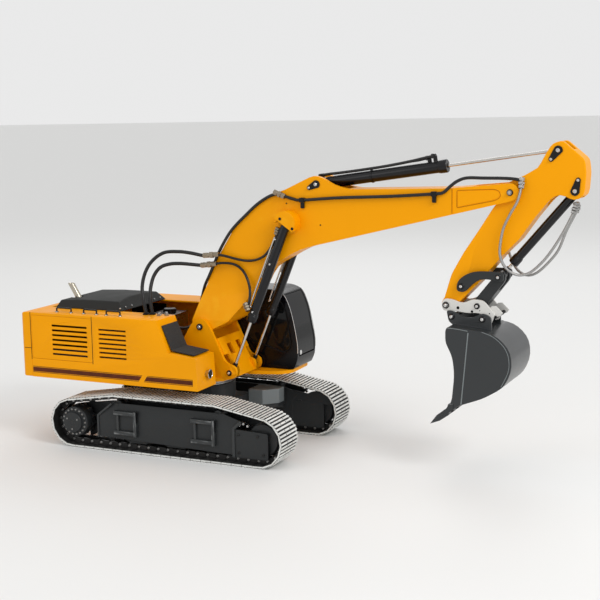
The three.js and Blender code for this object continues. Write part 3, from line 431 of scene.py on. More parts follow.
def block(x0, x1, y0, y1, z0, z1, mesh=None):
    return slab([(x0, z0), (x1, z0), (x1, z1), (x0, z1)], y0, y1, mesh)


def bolt(start, axis, radius, mesh, height=None):
    """Adds a socket-head screw: a chamfered round head with a hollow in it."""
    tall = height or radius * 0.9
    profile = [
        (0, -0.2), (radius * 0.97, -0.2), (radius, tall * 0.75), (radius * 0.82, tall),
        (radius * 0.5, tall), (radius * 0.46, tall * 0.45), (0, tall * 0.4),
    ]
    return turned(profile, start, axis, mesh, sides=18)


def rod(start, axis, radius, first, last, mesh=None, sides=16):
    """Adds a plain cylinder between two distances along its axis."""
    return turned([(0, first), (radius, first), (radius, last), (0, last)], start, axis, mesh, sides)


def round_spots(centre, radius, count, phase=0.0):
    """Evenly spaced places round a circle; the phase is a share of a turn."""
    for i in range(count):
        angle = 2 * math.pi * (i / count + phase)
        yield centre[0] + radius * math.cos(angle), centre[1] + radius * math.sin(angle)


def both_ways(half):
    """A turned profile from one half of it, given from the end to the middle."""
    return [(radius, -distance) for radius, distance in half] + half[::-1]


def sided(sign, near, far):
    """The two y of a span on one side of the machine, the lower first."""
    return sorted((sign * near, sign * far))


def eased(points, steps=6):
    """An outline of (u, v) or (u, v, ease) corners, with the eased ones rounded off."""
    corners = [Vector(point[:2]) for point in points]
    made = []
    for i, point in enumerate(points):
        corner = corners[i]
        ease = point[2] if len(point) > 2 else 0
        if not ease:
            made.append(tuple(corner))
            continue
        ends = []
        for other in (corners[i - 1], corners[(i + 1) % len(corners)]):
            way = other - corner
            ends.append(corner + way.normalized() * min(ease, 0.49 * way.length))
        for k in range(steps + 1):
            t = k / steps
            spot = ends[0] * (1 - t) ** 2 + corner * 2 * t * (1 - t) + ends[1] * t * t
            made.append(tuple(spot))
    return made


def temporary(mesh):
    data = bpy.data.meshes.new("temporary")
    bmesh.ops.recalc_face_normals(mesh, faces=mesh.faces)
    mesh.to_mesh(data)
    mesh.free()
    piece = bpy.data.objects.new("temporary", data)
    bpy.context.scene.collection.objects.link(piece)
    return piece


def carved(base, *steps):
    """The base mesh after boolean steps, each (operation, mesh)."""
    body = temporary(base)
    tools = []
    for operation, mesh in steps:
        tool = temporary(mesh)
        tools.append(tool)
        modifier = body.modifiers.new("step", "BOOLEAN")
        modifier.operation = operation
        modifier.object = tool
        modifier.solver = "EXACT"
    data = body.evaluated_get(bpy.context.evaluated_depsgraph_get()).to_mesh()
    made = bmesh.new()
    made.from_mesh(data)
    for piece in (body, *tools):
        bpy.data.objects.remove(piece)
    bmesh.ops.remove_doubles(made, verts=made.verts, dist=0.004 * MM)
    bmesh.ops.dissolve_limit(
        made, angle_limit=math.radians(0.5), verts=made.verts, edges=made.edges
    )
    return made


def box_centre(node):
    """The middle of a CAD node in the machine's millimetres."""
    low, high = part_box(node)
    middle = (low + high) / 2
    return (middle.x - SLEW_X) / MM, middle.y / MM, middle.z / MM


# ---- Tracks ----

SHOE_COUNT = 52
CARRIER_BEND = 17.0


def track_path(sign):
    """The track's outer loop round its four wheels: its points, and the length along it to each."""
    side_name = "right" if sign < 0 else "left"
    sprocket = box_centre(f"sprocket_{side_name}")
    idler = box_centre(f"idler_{side_name}")
    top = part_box(f"track_{side_name}")[1].z / MM
    radius = sprocket[2]
    circles = [
        (sprocket[0], radius, radius),
        (idler[0], radius, radius),
        (box_centre(f"carrier_roller_front_{side_name}")[0], top - CARRIER_BEND, CARRIER_BEND),
        (box_centre(f"carrier_roller_rear_{side_name}")[0], top - CARRIER_BEND, CARRIER_BEND),
    ]

    def touching(first, second):
        way = math.atan2(second[1] - first[1], second[0] - first[0])
        gap = math.hypot(second[0] - first[0], second[1] - first[1])
        return way - math.acos((first[2] - second[2]) / gap)

    outline = []
    for i, (x, z, r) in enumerate(circles):
        start = touching(circles[i - 1], circles[i])
        end = touching(circles[i], circles[(i + 1) % 4])
        while end < start:
            end += 2 * math.pi
        for k in range(41):
            angle = start + (end - start) * k / 40
            outline.append(Vector((x + r * math.cos(angle), z + r * math.sin(angle))))
    lengths = [0.0]
    loop = outline + [outline[0]]
    for a, b in zip(loop, loop[1:]):
        lengths.append(lengths[-1] + (b - a).length)
    return loop, lengths


def along_track(loop, lengths, distance):
    """The point on the loop at a distance along it."""
    distance %= lengths[-1]
    for i in range(len(loop) - 1):
        if lengths[i + 1] >= distance and lengths[i + 1] > lengths[i]:
            part = (distance - lengths[i]) / (lengths[i + 1] - lengths[i])
            return loop[i].lerp(loop[i + 1], part)
    return loop[0]


def add_track(name, sign):
    """The shoes with their ribs, the chain that carries them and the chain's pins; the shoe plates' middles and
    rib roots are painted shade.
    """
    loop, lengths = track_path(sign)
    pitch = lengths[-1] / SHOE_COUNT
    low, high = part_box(f"track_{name}")
    y0, y1 = low.y / MM + 0.2, high.y / MM - 0.2
    middle = (y0 + y1) / 2
    shoes = bmesh.new()
    chain_and_groove_shade = bmesh.new()
    pins = bmesh.new()
    plate_depth = 1.2
    rib_height = 1.9
    rib_half = 1.45
    for shoe in range(SHOE_COUNT):
        point = along_track(loop, lengths, (shoe + 0.5) * pitch)
        ahead = along_track(loop, lengths, (shoe + 0.95) * pitch)
        behind = along_track(loop, lengths, (shoe + 0.05) * pitch)
        way = (ahead - behind).normalized()
        out = Vector((way.y, -way.x))
        sag = (point - (ahead + behind) / 2).dot(out) * 0.5

        def spot(u, w):  # along the shoe and out of it, kept above the ground
            place_at = point + way * u + out * (w - sag)
            return place_at.x, max(place_at.y, 0.02)

        # The plate's middle and the ribs' roots go in the dark chain mesh as painted shade in the grooves between
        # the ribs; the crests and the plate's ends keep the shoes' light steel.
        plate = [
            (-0.47 * pitch, -rib_height), (-0.47 * pitch, -rib_height - plate_depth),
            (0.47 * pitch, -rib_height - plate_depth), (0.47 * pitch, -rib_height),
        ]
        slab([spot(u, w) for u, w in plate], y0 + 1.2, y1 - 1.2, chain_and_groove_shade)
        edge_plate = [(u, w + (0.7 if w > -rib_height - 0.1 else 0)) for u, w in plate]
        for low_y, high_y in ((y0, y0 + 1.2), (y1 - 1.2, y1)):
            slab([spot(u, w) for u, w in edge_plate], low_y, high_y, shoes)
        for share in (-0.325, 0.0, 0.325):
            at = share * pitch
            root = [
                (at - rib_half, -rib_height - 0.2), (at - rib_half + 0.25, -0.55),
                (at + rib_half - 0.25, -0.55), (at + rib_half, -rib_height - 0.2),
            ]
            slab([spot(u, w) for u, w in root], y0 + 0.3, y1 - 0.3, chain_and_groove_shade)
            crest = [
                (at - rib_half + 0.1, -0.6), (at - rib_half + 0.3, 0.0),
                (at + rib_half - 0.3, 0.0), (at + rib_half - 0.1, -0.6),
            ]
            slab([spot(u, w) for u, w in crest], y0, y1, shoes)
        for side in (-1, 1):
            inner = middle + side * 6.2
            outer = middle + side * 9.6
            shape = []
            for k in range(12):
                angle = 2 * math.pi * k / 12
                lean = 0.32 * pitch if math.cos(angle) > 0 else -0.32 * pitch
                shape.append(spot(lean + 3.1 * math.cos(angle), -6.1 + 3.3 * math.sin(angle)))
            slab(shape, min(inner, outer), max(inner, outer), chain_and_groove_shade)
            px, pz = spot(-0.32 * pitch, -6.4)
            head = [(0, 0), (2.0, 0), (2.0, 0.9), (1.5, 1.4), (0, 1.4)]
            turned(head, (px, outer - side * 0.2, pz), (0, side, 0), pins, 14)
        # The bottom run has no bolts, as their heads would stand in the ground.
        if out.y > -0.9:
            for side in (-1, 1):
                for u in (-0.325 * pitch, 0.325 * pitch):
                    px, pz = spot(u, -0.52)
                    rod((px, middle + side * 7.0, pz), (out.x, 0, out.y), 0.9, -0.2, 0.55, chain_and_groove_shade, 8)
    body = "undercarriage"
    place(f"track_shoes_{name}", shoes, SHOE_STEEL, body, [f"track_{name}"], smooth=20)
    place(f"track_chain_and_groove_shade_{name}", chain_and_groove_shade, DARK_STEEL_AND_GROOVE_SHADE, body)
    place(f"track_pins_{name}", pins, STEEL, body)


for side_name, side_sign in SIDES:
    add_track(side_name, side_sign)


# ---- Undercarriage ----

TRACK_Y = box_centre("track_left")[1]
WHEEL_SCREEN = 27.5
SPROCKET = box_centre("sprocket_left")
IDLER = box_centre("idler_left")
WEB = [(-107, 17), (-107, 47), (-83, 65.5), (88, 65.5), (117, 57), (106, 45), (106, 12)]


def across(sign, inner, outer):
    """The two y of a span measured from the middle of a track, outwards positive."""
    return sorted((sign * (TRACK_Y + inner), sign * (TRACK_Y + outer)))


def add_track_frame(name, sign):
    """A track frame with its steps, rollers, guards and screws."""
    mesh = bmesh.new()
    block(-107, 106, *across(sign, -12.5, 11), 26, 50, mesh)
    slab(WEB, *across(sign, -15, -11.5), mesh)
    # The outer plate leans inwards above its crease.
    crease = [(sign * (TRACK_Y + w), z) for w, z in ((10.5, 5), (15, 5), (15, 45), (11.6, 66), (10.5, 66))]
    cutter = slab(crease, -120, 120, frame_axes="yz")
    outer = carved(slab(WEB, *across(sign, 10.5, 16)), ("INTERSECT", cutter))
    data = bpy.data.meshes.new("temporary")
    outer.to_mesh(data)
    outer.free()
    mesh.from_mesh(data)
    bpy.data.meshes.remove(data)
    for inner, far in ((-12.5, -9.5), (9.5, 12.5)):
        block(100, 152, *across(sign, inner, far), 28, 42, mesh)
    for wheel, first, last in ((IDLER, 20, 160), (SPROCKET, -80, 80)):
        arch = []
        for angle in range(first, last + 1, 10):
            turn = math.radians(angle)
            arch.append((wheel[0] + WHEEL_SCREEN * math.cos(turn), wheel[2] + WHEEL_SCREEN * math.sin(turn)))
        slab(arch, *across(sign, -14.4, -12.4), mesh)
    # Plates over the gaps above the idler and the sprocket are dark sheets standing in for the shade seen there.
    front_gap = [(104, 46), (104, 61), (117, 59.5), (131, 57.4), (134, 48)]
    rear_gap = [(-134, 56.5), (-100, 61.5), (-86, 62.5), (-107, 46), (-120, 40)]
    for gap in (front_gap, rear_gap):
        slab(gap, *across(sign, -14.6, -12.2), mesh)
    guard = eased([(105, 9, 1), (155, 9, 3), (155, 45, 3), (105, 47, 1)])
    slab(guard, *across(sign, 11, 14.8), mesh)
    slab(guard, *across(sign, -14.8, -11), mesh)
    plate = eased([(-106, 20), (-106, 50), (-128, 58, 6), (-163, 52, 12), (-163, 18, 12), (-128, 12, 6)])
    slab(plate, *across(sign, -15, -11.5), mesh)
    roller_z = box_centre("carrier_roller_rear_left")[2]
    for x in (-76, 80):
        rod((x, sign * TRACK_Y, roller_z), ACROSS, 2.5, -12.5, 12.5, mesh)
    rod((IDLER[0], sign * TRACK_Y, IDLER[2]), ACROSS, 4, -11, 12, mesh, 20)
    rounded(
        place(f"track_frame_{name}_skin", mesh, GREY, "undercarriage", [f"track_frame_{name}"]), 0.55
    )

    steps = bmesh.new()
    front_step = [(103, 9), (107, 9), (107, 47), (118, 57), (115.5, 59.5), (103, 48.5)]
    rear_step = [
        (-107.5, 15.5), (-104.5, 15.5), (-104.5, 46), (-82, 64), (-83.5, 66.2), (-107.5, 47.5),
    ]
    for shape in (front_step, rear_step):
        slab(shape, *across(sign, 14, 16.6), steps)
    for x in (-76, 45):
        for z0, z1 in ((23, 28.5), (50.5, 56)):
            slab(eased([(x - 3, z0, 1), (x + 33, z0, 1), (x + 33, z1, 1), (x - 3, z1, 1)], 3),
                 *across(sign, 14.5, 19.3), steps)
        slab([(x + 1, 28), (x + 4.5, 28), (x + 4.5, 51), (x + 1, 51)], *across(sign, 14.5, 18), steps)
        slab(eased([(x + 29, 21.5, 1), (x + 33.5, 21.5, 1), (x + 33.5, 57, 1), (x + 29, 57, 1)], 3),
             *across(sign, 14.5, 20), steps)
    rounded(place(f"steps_{name}", steps, STEP_GREY, "undercarriage"), 0.6)

    rollers = bmesh.new()
    guards = bmesh.new()
    bolts = bmesh.new()
    screws = bmesh.new()
    profile = both_ways([(0, 9), (6.2, 9), (8, 8.6), (8, 5.2), (6.6, 4.8)])
    axle_cap = [(0, 0), (4.4, 0), (4.4, 1.2), (3.6, 2), (0, 2)]
    outside = (0, sign, 0)
    for i in range(7):
        x = -90 + 30 * i
        turned(profile, (x, sign * TRACK_Y, 18.9), ACROSS, rollers, 28)
        if i % 2:
            shape = [(x - 8, 26), (x + 38, 26), (x + 35, 16), (x + 28, 11), (x + 2, 11), (x - 5, 16)]
            for inner, far in ((-11.3, -9.4), (9.4, 11.3)):
                slab(shape, *across(sign, inner, far), guards)
        turned(axle_cap, (x, sign * (TRACK_Y + 10.6), 18.2), outside, guards, 24)
        bolt((x, sign * (TRACK_Y + 12.4), 18.2), outside, 2.2, screws, 1.4)
    for x, z in ((112, 16), (112, 40), (148, 16), (140, 40)):
        bolt((x, sign * (TRACK_Y + 14.8), z), outside, 1.9, bolts, 1.4)
    place(f"bottom_rollers_{name}", rollers, DARK_STEEL_AND_GROOVE_SHADE, "undercarriage")
    rounded(place(f"roller_guards_{name}", guards, GREY, "undercarriage"), 0.4)
    place(f"frame_bolts_{name}", bolts, DARK_STEEL_AND_GROOVE_SHADE, "undercarriage", smooth=25)
    for x, z in ((112, 54), (118, 56.5), (124, 54)):
        bolt((x, sign * (TRACK_Y + 9), z - 2), outside, 1.8, screws, 3.0)
    place(f"roller_screws_{name}", screws, BRIGHT_STEEL_AND_HIGHLIGHT, "undercarriage", smooth=25)
    refined(f"drive_motor_{name}", BLACK, 0.6)


def add_wheels(name, sign):
    """A sprocket with its final drive, an idler and two carrier rollers."""
    hub = [
        (0, -4.8), (13, -4.8), (13, 4.6), (20.6, 4.6), (21, 5), (21, 16.8), (20.5, 17.5), (19.9, 17.8),
        (15.6, 17.8), (15.2, 18.2), (14.5, 18.6), (14.5, 22.6), (14.0, 23.3), (12.8, 23.6), (4, 23.6),
        (3.6, 23.2), (0, 23.2),
    ]
    outside = (0, sign, 0)
    mesh = turned(hub, (SPROCKET[0], sign * TRACK_Y, SPROCKET[2]), outside, sides=64)
    tooth = (19.3, 19.3, 20.2, 22.2, 22.2, 20.2)  # radii round one of the twelve
    count = 12 * len(tooth)
    teeth = []
    for i in range(count):
        radius = tooth[i % len(tooth)]
        angle = 2 * math.pi * i / count
        teeth.append((SPROCKET[0] + radius * math.cos(angle), SPROCKET[2] + radius * math.sin(angle)))
    slab(teeth, *across(sign, -4.5, 4.5), mesh)
    place(f"sprocket_{name}_skin", mesh, GREY, f"sprocket_{name}", [f"sprocket_{name}"])
    bolts = bmesh.new()
    axle = (SPROCKET[0], SPROCKET[2])
    for x, z in round_spots(axle, 17.6, 18):
        bolt((x, sign * (TRACK_Y + 17.8), z), outside, 1.35, bolts, 1.2)
    for x, z in round_spots(axle, 9.5, 3, 0.08):
        bolt((x, sign * (TRACK_Y + 23.6), z), outside, 1.2, bolts, 0.6)
    place(f"sprocket_bolts_{name}", bolts, STEEL, f"sprocket_{name}", smooth=25)

    rim = both_ways([
        (0, 9.4), (7, 9.4), (7.6, 8.8), (12, 8), (12.6, 8.8), (20.6, 8.8), (21.3, 8.2), (21.3, 4.4),
        (22.4, 3.8),
    ])
    mesh = turned(rim, (IDLER[0], sign * TRACK_Y, IDLER[2]), ACROSS, sides=56)
    place(f"idler_{name}_skin", mesh, GREY, f"idler_{name}", [f"idler_{name}"])
    roller = both_ways([
        (0, 10.8), (3, 10.8), (3.4, 10.4), (6.1, 10.2), (6.5, 9.8), (6.5, 4.2), (5.6, 3.6),
    ])
    for end in ("rear", "front"):
        node = f"carrier_roller_{end}_{name}"
        mesh = turned(roller, box_centre(node), ACROSS, sides=28)
        place(f"{node}_skin", mesh, GREY, node, [node])


for side_name, side_sign in SIDES:
    add_track_frame(side_name, side_sign)
    add_wheels(side_name, side_sign)

refined("centre_frame", GREY, 0.8)
cap = [(56.5, 33), (79, 33), (96.5, 51), (96.5, 67), (56.5, 67)]
rounded(place("arm_cover", slab(cap, 46, 67, frame_axes="xy"), PALE_GREY_AND_HIGHLIGHT, "undercarriage"), 0.8)
ring = [(34, 0), (46.4, 0), (47, 0.4), (47, 1.8), (46, 2.2), (46, 3.2), (47, 3.6), (47, 4.4), (34, 4.4)]
ring_mesh = turned(ring, (0, 0, 84.3), UP, sides=72)
place("slew_ring_skin", ring_mesh, STEEL, BODY_OF["slew_ring"], ["slew_ring"])
refined("slew_motor", STEEL, 0.5)

# ---- Upper structure ----

DECK_TOP = 184.7
BODY_FOOT = 93.4
place("main_deck_skin", cad_mesh("main_deck"), YELLOW, "upper", ["main_deck"], 30)


def without_rails():
    """The right body with its hand rails cut off flush; round ones stand in their place."""
    mesh = cad_mesh("right_body", whole=False)
    top = machine(0, 0, DECK_TOP + 0.02)
    bmesh.ops.bisect_plane(
        mesh, geom=mesh.verts[:] + mesh.edges[:] + mesh.faces[:], dist=1e-7,
        plane_co=top, plane_no=UP, clear_outer=True,
    )
    bmesh.ops.holes_fill(mesh, edges=[e for e in mesh.edges if e.is_boundary], sides=0)
    return mesh


refined("right_body", YELLOW, 0.9, mesh=without_rails(), clamp=True)
refined("left_body", YELLOW, 0.9)
refined("right_door", YELLOW, 0.5)

outline = eased([
    (-211.8, -106), (-227, -106, 6), (-240, -66, 26), (-240, 66, 26), (-227, 106, 6), (-211.8, 106),
], 10)
profile = eased([
    (-205, BODY_FOOT), (-234, BODY_FOOT, 5), (-240, 106, 8), (-240, 162, 14),
    (-226, DECK_TOP, 5), (-205, DECK_TOP),
], 10)
plan = slab(outline, BODY_FOOT, DECK_TOP, frame_axes="xy")
weight = carved(plan, ("INTERSECT", slab(profile, -110, 110)))
rounded(place("counterweight_skin", weight, YELLOW, "upper", ["counterweight"]), 1.2, 3, 24)

rails = bmesh.new()
rail_bolts = bmesh.new()
for x0, x1 in ((-176, -152), (-131, -110), (-94, -72)):
    # Each rail is a hoop: up, over in two tight bends, and down again.
    route = [(x0, -92, 184), (x0, -92, 187), (x0, -92, 189.6), (x0 + 1.2, -92, 190.8), (x0 + 4, -92, 191)]
    route += [(x0 + x1 - x, y, z) for x, y, z in route[::-1]]
    swept(route, 1.15, rails, sides=12)
    for x in (x0, x1):
        foot = [(0, -0.3), (2.4, -0.3), (2.4, 0.6), (1.8, 1.6), (0, 1.9)]
        turned(foot, (x, -92, DECK_TOP), UP, rails, 16)
        bolt((x + 1.5, -94.5, DECK_TOP + 0.1), (0.2, -0.4, 1), 1.6, rail_bolts, 1.4)
place("hand_rails", rails, BLACK, "upper")
place("rail_bolts", rail_bolts, BRIGHT_STEEL_AND_HIGHLIGHT, "upper", smooth=25)

backing = bmesh.new()
block(-178, -116, -104.2, -103.6, 126, 170, backing)
block(-101, -53, -102.9, -102.4, 127, 169, backing)
block(-178, -116, 102.4, 102.9, 126, 170, backing)
place("louvre_mesh", backing, MATT_BLACK, "upper")

seams = bmesh.new()
block(-212.1, -211.2, -106.04, -104, 118, DECK_TOP, seams)
block(-211.9, -211.4, 104, 106.02, 94, DECK_TOP, seams)
block(-110, -109.1, -106.06, -105.5, 118, 184.2, seams)
block(-223, -211.6, -106.05, -105.5, 133.7, 134.5, seams)
place("body_seams", seams, MATT_BLACK, "upper")

stripe = bmesh.new()
for side in (-1, 1):
    y0, y1 = sided(side, 105.6, 106.14)
    for x0, x1, ahead in ((-210.5, -31, True), (-23, 47, False)):
        if side > 0 and x1 > 0:
            continue
        lean = 6 if ahead else 0
        behind = 0 if ahead else 6
        for z0, z1 in ((99.8, 100.5), (101.2, 107.2), (107.9, 108.6)):
            shares = [(z - 99.8) / 8.8 for z in (z0, z1)]
            rear = [x0 - behind * (1 - share) for share in shares]
            front = [x1 - lean * (1 - share) for share in shares]
            slab([(rear[0], z0), (front[0], z0), (front[1], z1), (rear[1], z1)], y0, y1, stripe)
place("stripe", stripe, BROWN, "upper")

refined("engine_hood", HOOD_GREY, 1.6, 3)
hood_bolts = bmesh.new()
for y in (-60, -46, -30, 30, 46):
    bolt((-92.5, y, 189), (1, 0, 0.9), 1.1, hood_bolts)
place("hood_bolts", hood_bolts, BRIGHT_STEEL_AND_HIGHLIGHT, "engine_hood", smooth=25)

elbow = [
    (-188, -20, 183), (-188, -20, 188), (-188.4, -20, 192.5), (-190.4, -20, 197), (-196, -20, 206),
    (-206, -20, 222.7),
]
pipe = carved(
    swept(elbow, 4.4, sides=28),
    ("DIFFERENCE", swept([(-192, -20, 199), (-196, -20, 205.8), (-210, -20, 229.5)], 3.7, sides=28)),
    ("DIFFERENCE", block(-225, -185, -30, -10, 214.5, 235)),
)
place("exhaust_pipe_skin", pipe, DULL_CHROME, "engine_hood", ["exhaust_pipe"])

refined("step_mat", MAT, 0.4)
for node, material in (
    ("battery", BLACK), ("hydraulic_pump", STEEL), ("oil_tank", STEEL), ("valve_block", STEEL),
    ("receiver", MATT_BLACK), ("driver_seat", MATT_BLACK),
):
    refined(node, material, 0.8)

lamp_at = box_centre("work_lamp")
lamp_rim = [(0, -4), (5, -4), (5, 0.2), (6.4, 0.6), (6.4, 2.2), (5.6, 2.6), (5.0, 2.0), (0, 2.0)]
lamp = turned(lamp_rim, (56, lamp_at[1], lamp_at[2]), AHEAD)
place("work_lamp_skin", lamp, CHROME, "upper", ["work_lamp"])
lens = turned([(0, 0), (4.9, 0), (4.9, 0.3), (3.5, 1.0), (0, 1.3)], (58, lamp_at[1], lamp_at[2]), AHEAD)
place("lamp_lens", lens, GLASS, "upper")

cap_x, cap_y, _ = box_centre("filler_cap")
cap_profile = [
    (0, -6), (6, -6), (6, 0), (9, 0), (9, 0.6), (9, 5.4), (8.2, 6.4), (4, 6.6), (3.6, 6.2), (0, 6.2),
]
cap = turned(cap_profile, (cap_x, cap_y, 172.4), UP, sides=36)
for x, y in round_spots((cap_x, cap_y), 9, 18):
    turned([(0, 0), (0.6, 0), (0.6, 4.4), (0, 4.6)], (x, y, 173), UP, cap, 8)
place("filler_cap_skin", cap, BLACK, "filler_cap", ["filler_cap"])

# ---- Cab ----

CAB_NEAR, CAB_FAR = 41.5, 103.0
refined("cab_shell", CAB_BLACK, 1.4, 3)
refined("cab_windscreen", GLASS, 0.2, 1)
refined("cab_door", CAB_BLACK, 0.6)
panes = bmesh.new()
window = eased([
    (14.3, 150.2, 3), (111.8, 122.4, 6), (121.4, 132, 6), (113.6, 180, 6), (103.7, 199.7, 5),
    (14.3, 199.7, 3),
])
slab(window, CAB_NEAR + 0.7, CAB_NEAR + 1.5, panes)
slab([(50, 150.2), (94.8, 150.2), (94.8, 199.8), (50, 199.8)], 5.4, 6.2, panes, "yz")
place("cab_panes", panes, GLASS, "upper")
door_window = eased([
    (50.2, 140.2, 3), (103.8, 140.2, 5), (109.8, 160, 5), (98.8, 195.8, 5), (50.2, 197.8, 3),
])
door_pane = slab(door_window, 101.2, 102)
place("cab_door_pane", door_pane, GLASS, "cab_door")
# Thin bright lines along the front pillars' edges: painted highlight.
pillar_highlights = bmesh.new()
post = [(130.4, 122), (130.2, 134), (127.4, 152), (123.2, 172), (119.2, 186), (113.6, 199), (108, 205.6)]
for y in (CAB_NEAR + 0.6, CAB_FAR - 0.6):
    swept([(x + 0.5, y, z) for x, z in post], 0.45, pillar_highlights, sides=8)
place("cab_pillar_highlights", pillar_highlights, BRIGHT_STEEL_AND_HIGHLIGHT, "upper")
seal = bmesh.new()
swept([(x, CAB_NEAR + 0.2, z) for x, z in window + window[:1]], 0.7, seal, 8, 1)
place("window_seal", seal, MATT_BLACK, "upper")
light = turned([(0, 0), (3.4, 0), (3.4, 0.8), (2.8, 1.2), (0, 1.0)], (130.4, 52, 122), AHEAD, sides=28)
place("cab_light", light, BRIGHT_STEEL_AND_HIGHLIGHT, "upper")

# ---- Boom, stick and cylinders ----

BOOM_FOOT = body_place("boom_hinge")
BOSS = (152.0, 312.5)
ROD_EYE = (66.4, 106.1)
STICK_BASE = (191.0, 362.5)
STICK_TOP = (506.0, 407.0)
BUCKET_TOP = (527.0, 358.5)
ROCKER_PIN = (435.0, 251.3)
BOOM_CYLINDER_Y = 29.8

refined("boom", YELLOW, 1.1, 3, clamp=True)
refined("stick", YELLOW, 1.1, 3)
crescent = eased([
    (381.5, 231.5, 5), (383, 246, 10), (402, 258, 16), (442, 258, 5), (442, 245.5, 5), (414, 249.5, 16),
    (401, 240, 8), (393, 230.5, 6),
])
rocker = bmesh.new()
rocker_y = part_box("rocker")[1].y / MM
for side in (-1, 1):
    slab(crescent, *sided(side, rocker_y, rocker_y - 3.4), rocker)
rounded(place("rocker_skin", rocker, GREY, "rocker", ["rocker"]), 0.6)
refined("link", GREY, 0.6)
plate = eased([
    (361, 213, 6), (364, 221, 5), (374, 221, 5), (389, 216, 6), (402, 222, 5), (416, 221, 5),
    (424, 212, 4), (431, 204), (426, 192, 2), (421, 191), (421, 201, 4), (410, 205, 5), (396, 204, 6),
    (378, 206, 6), (364, 205, 5),
], 5)
nose = [(420, 208), (426, 214), (431, 214.5), (440, 206), (437, 202), (426, 199)]
coupler = bmesh.new()
hole_shades_and_bars = bmesh.new()
for side in (-1, 1):
    slab(plate, *sided(side, 15.4, 18.8), coupler)
    slab(nose, *sided(side, 13.6, 15.6), coupler)
    # Thin black discs on the white plates: painted shade standing for the plates' holes.
    for x, z, radius in ((383.2, 210.2, 1.9), (401.5, 206.4, 1.6), (411.4, 208, 0.6), (424, 205, 0.8)):
        rod((x, side * 18.8, z), (0, side, 0), radius, 0, 0.12, hole_shades_and_bars, 20)
block(384, 404, -17, 17, 206, 211, coupler)
rounded(place("coupler_skin", coupler, WHITE, "bucket", ["coupler"]), 0.5)
rod((433.5, 0, 203), ACROSS, 2.2, -14, 14, hole_shades_and_bars, 24)
rod((431, 0, 200.5), ACROSS, 1.8, -17.5, 17.5, hole_shades_and_bars)
place("coupler_hole_shadows_and_bars", hole_shades_and_bars, MATT_BLACK, "bucket", smooth=25)
# Pale lines on the bucket's sides: the weld beads and the back's edge, their pale grey a painted highlight.
weld_highlights = bmesh.new()
back = eased([(422, 186), (438, 181, 10), (455, 165, 12), (458, 141, 12), (447, 119)])
weld_highlight_lines = (
    ([(404.6, 184), (400.7, 142), (396, 92.5)], 0.8),
    ([(378, 188.6), (392, 187.6), (404, 186)], 0.5),
    (back, 0.45),  # where the sheet of the bucket's back meets its side
)
for y in (-45, 45):
    for line, radius in weld_highlight_lines:
        swept([(x, y, z) for x, z in line], radius, weld_highlights, 8, 4)
place("bucket_weld_highlights", weld_highlights, PALE_GREY_AND_HIGHLIGHT, "bucket")
refined("bucket", BUCKET_GREY, 0.6)
refined("cutting_edge", BUCKET_GREY, 0.4)
for node, reach in (("boom_foot_pin", 41.9), ("stick_pin", 23.2), ("link_pin", 15), ("coupler_pin", 20.6)):
    pin = rod(box_centre(node), ACROSS, 3.0, -reach, reach, sides=24)
    place(f"{node}_skin", pin, STEEL, BODY_OF[node], [node])


caps = {body: bmesh.new() for body in ("boom", "stick", "rocker", "bucket", "upper")}
cap_bolts = {body: bmesh.new() for body in caps}


def pin_cap(spot, y, sign, radius, body):
    """A turned washer on a pin's end with a socket screw in it."""
    x, z = spot
    washer = [(0, 0), (radius, 0), (radius, 0.9), (radius - 0.5, 1.4), (0, 1.4)]
    turned(washer, (x, y, z), (0, sign, 0), caps[body], 28)
    bolt((x, y + sign * 1.3, z), (0, sign, 0), radius * 0.5, cap_bolts[body])


def retainer(spot, y, sign, aim, radius, reach, body):
    """A black teardrop plate that keeps a pin from turning, with a screw at each end."""
    x, z = spot
    shape = []
    for k in range(24):
        angle = 2 * math.pi * k / 24
        far = math.cos(angle) > 0
        r = radius * 0.55 if far else radius
        u = (reach if far else 0) + r * math.cos(angle)
        w = r * math.sin(angle)
        shape.append((x + u * math.cos(aim) - w * math.sin(aim), z + u * math.sin(aim) + w * math.cos(aim)))
    y0, y1 = sorted((y, y + sign * 1.3))
    slab(shape, y0, y1, caps[body])
    for distance, size in ((0, radius * 0.45), (reach, radius * 0.32)):
        at = (x + distance * math.cos(aim), y + sign * 1.3, z + distance * math.sin(aim))
        bolt(at, (0, sign, 0), size, cap_bolts[body])


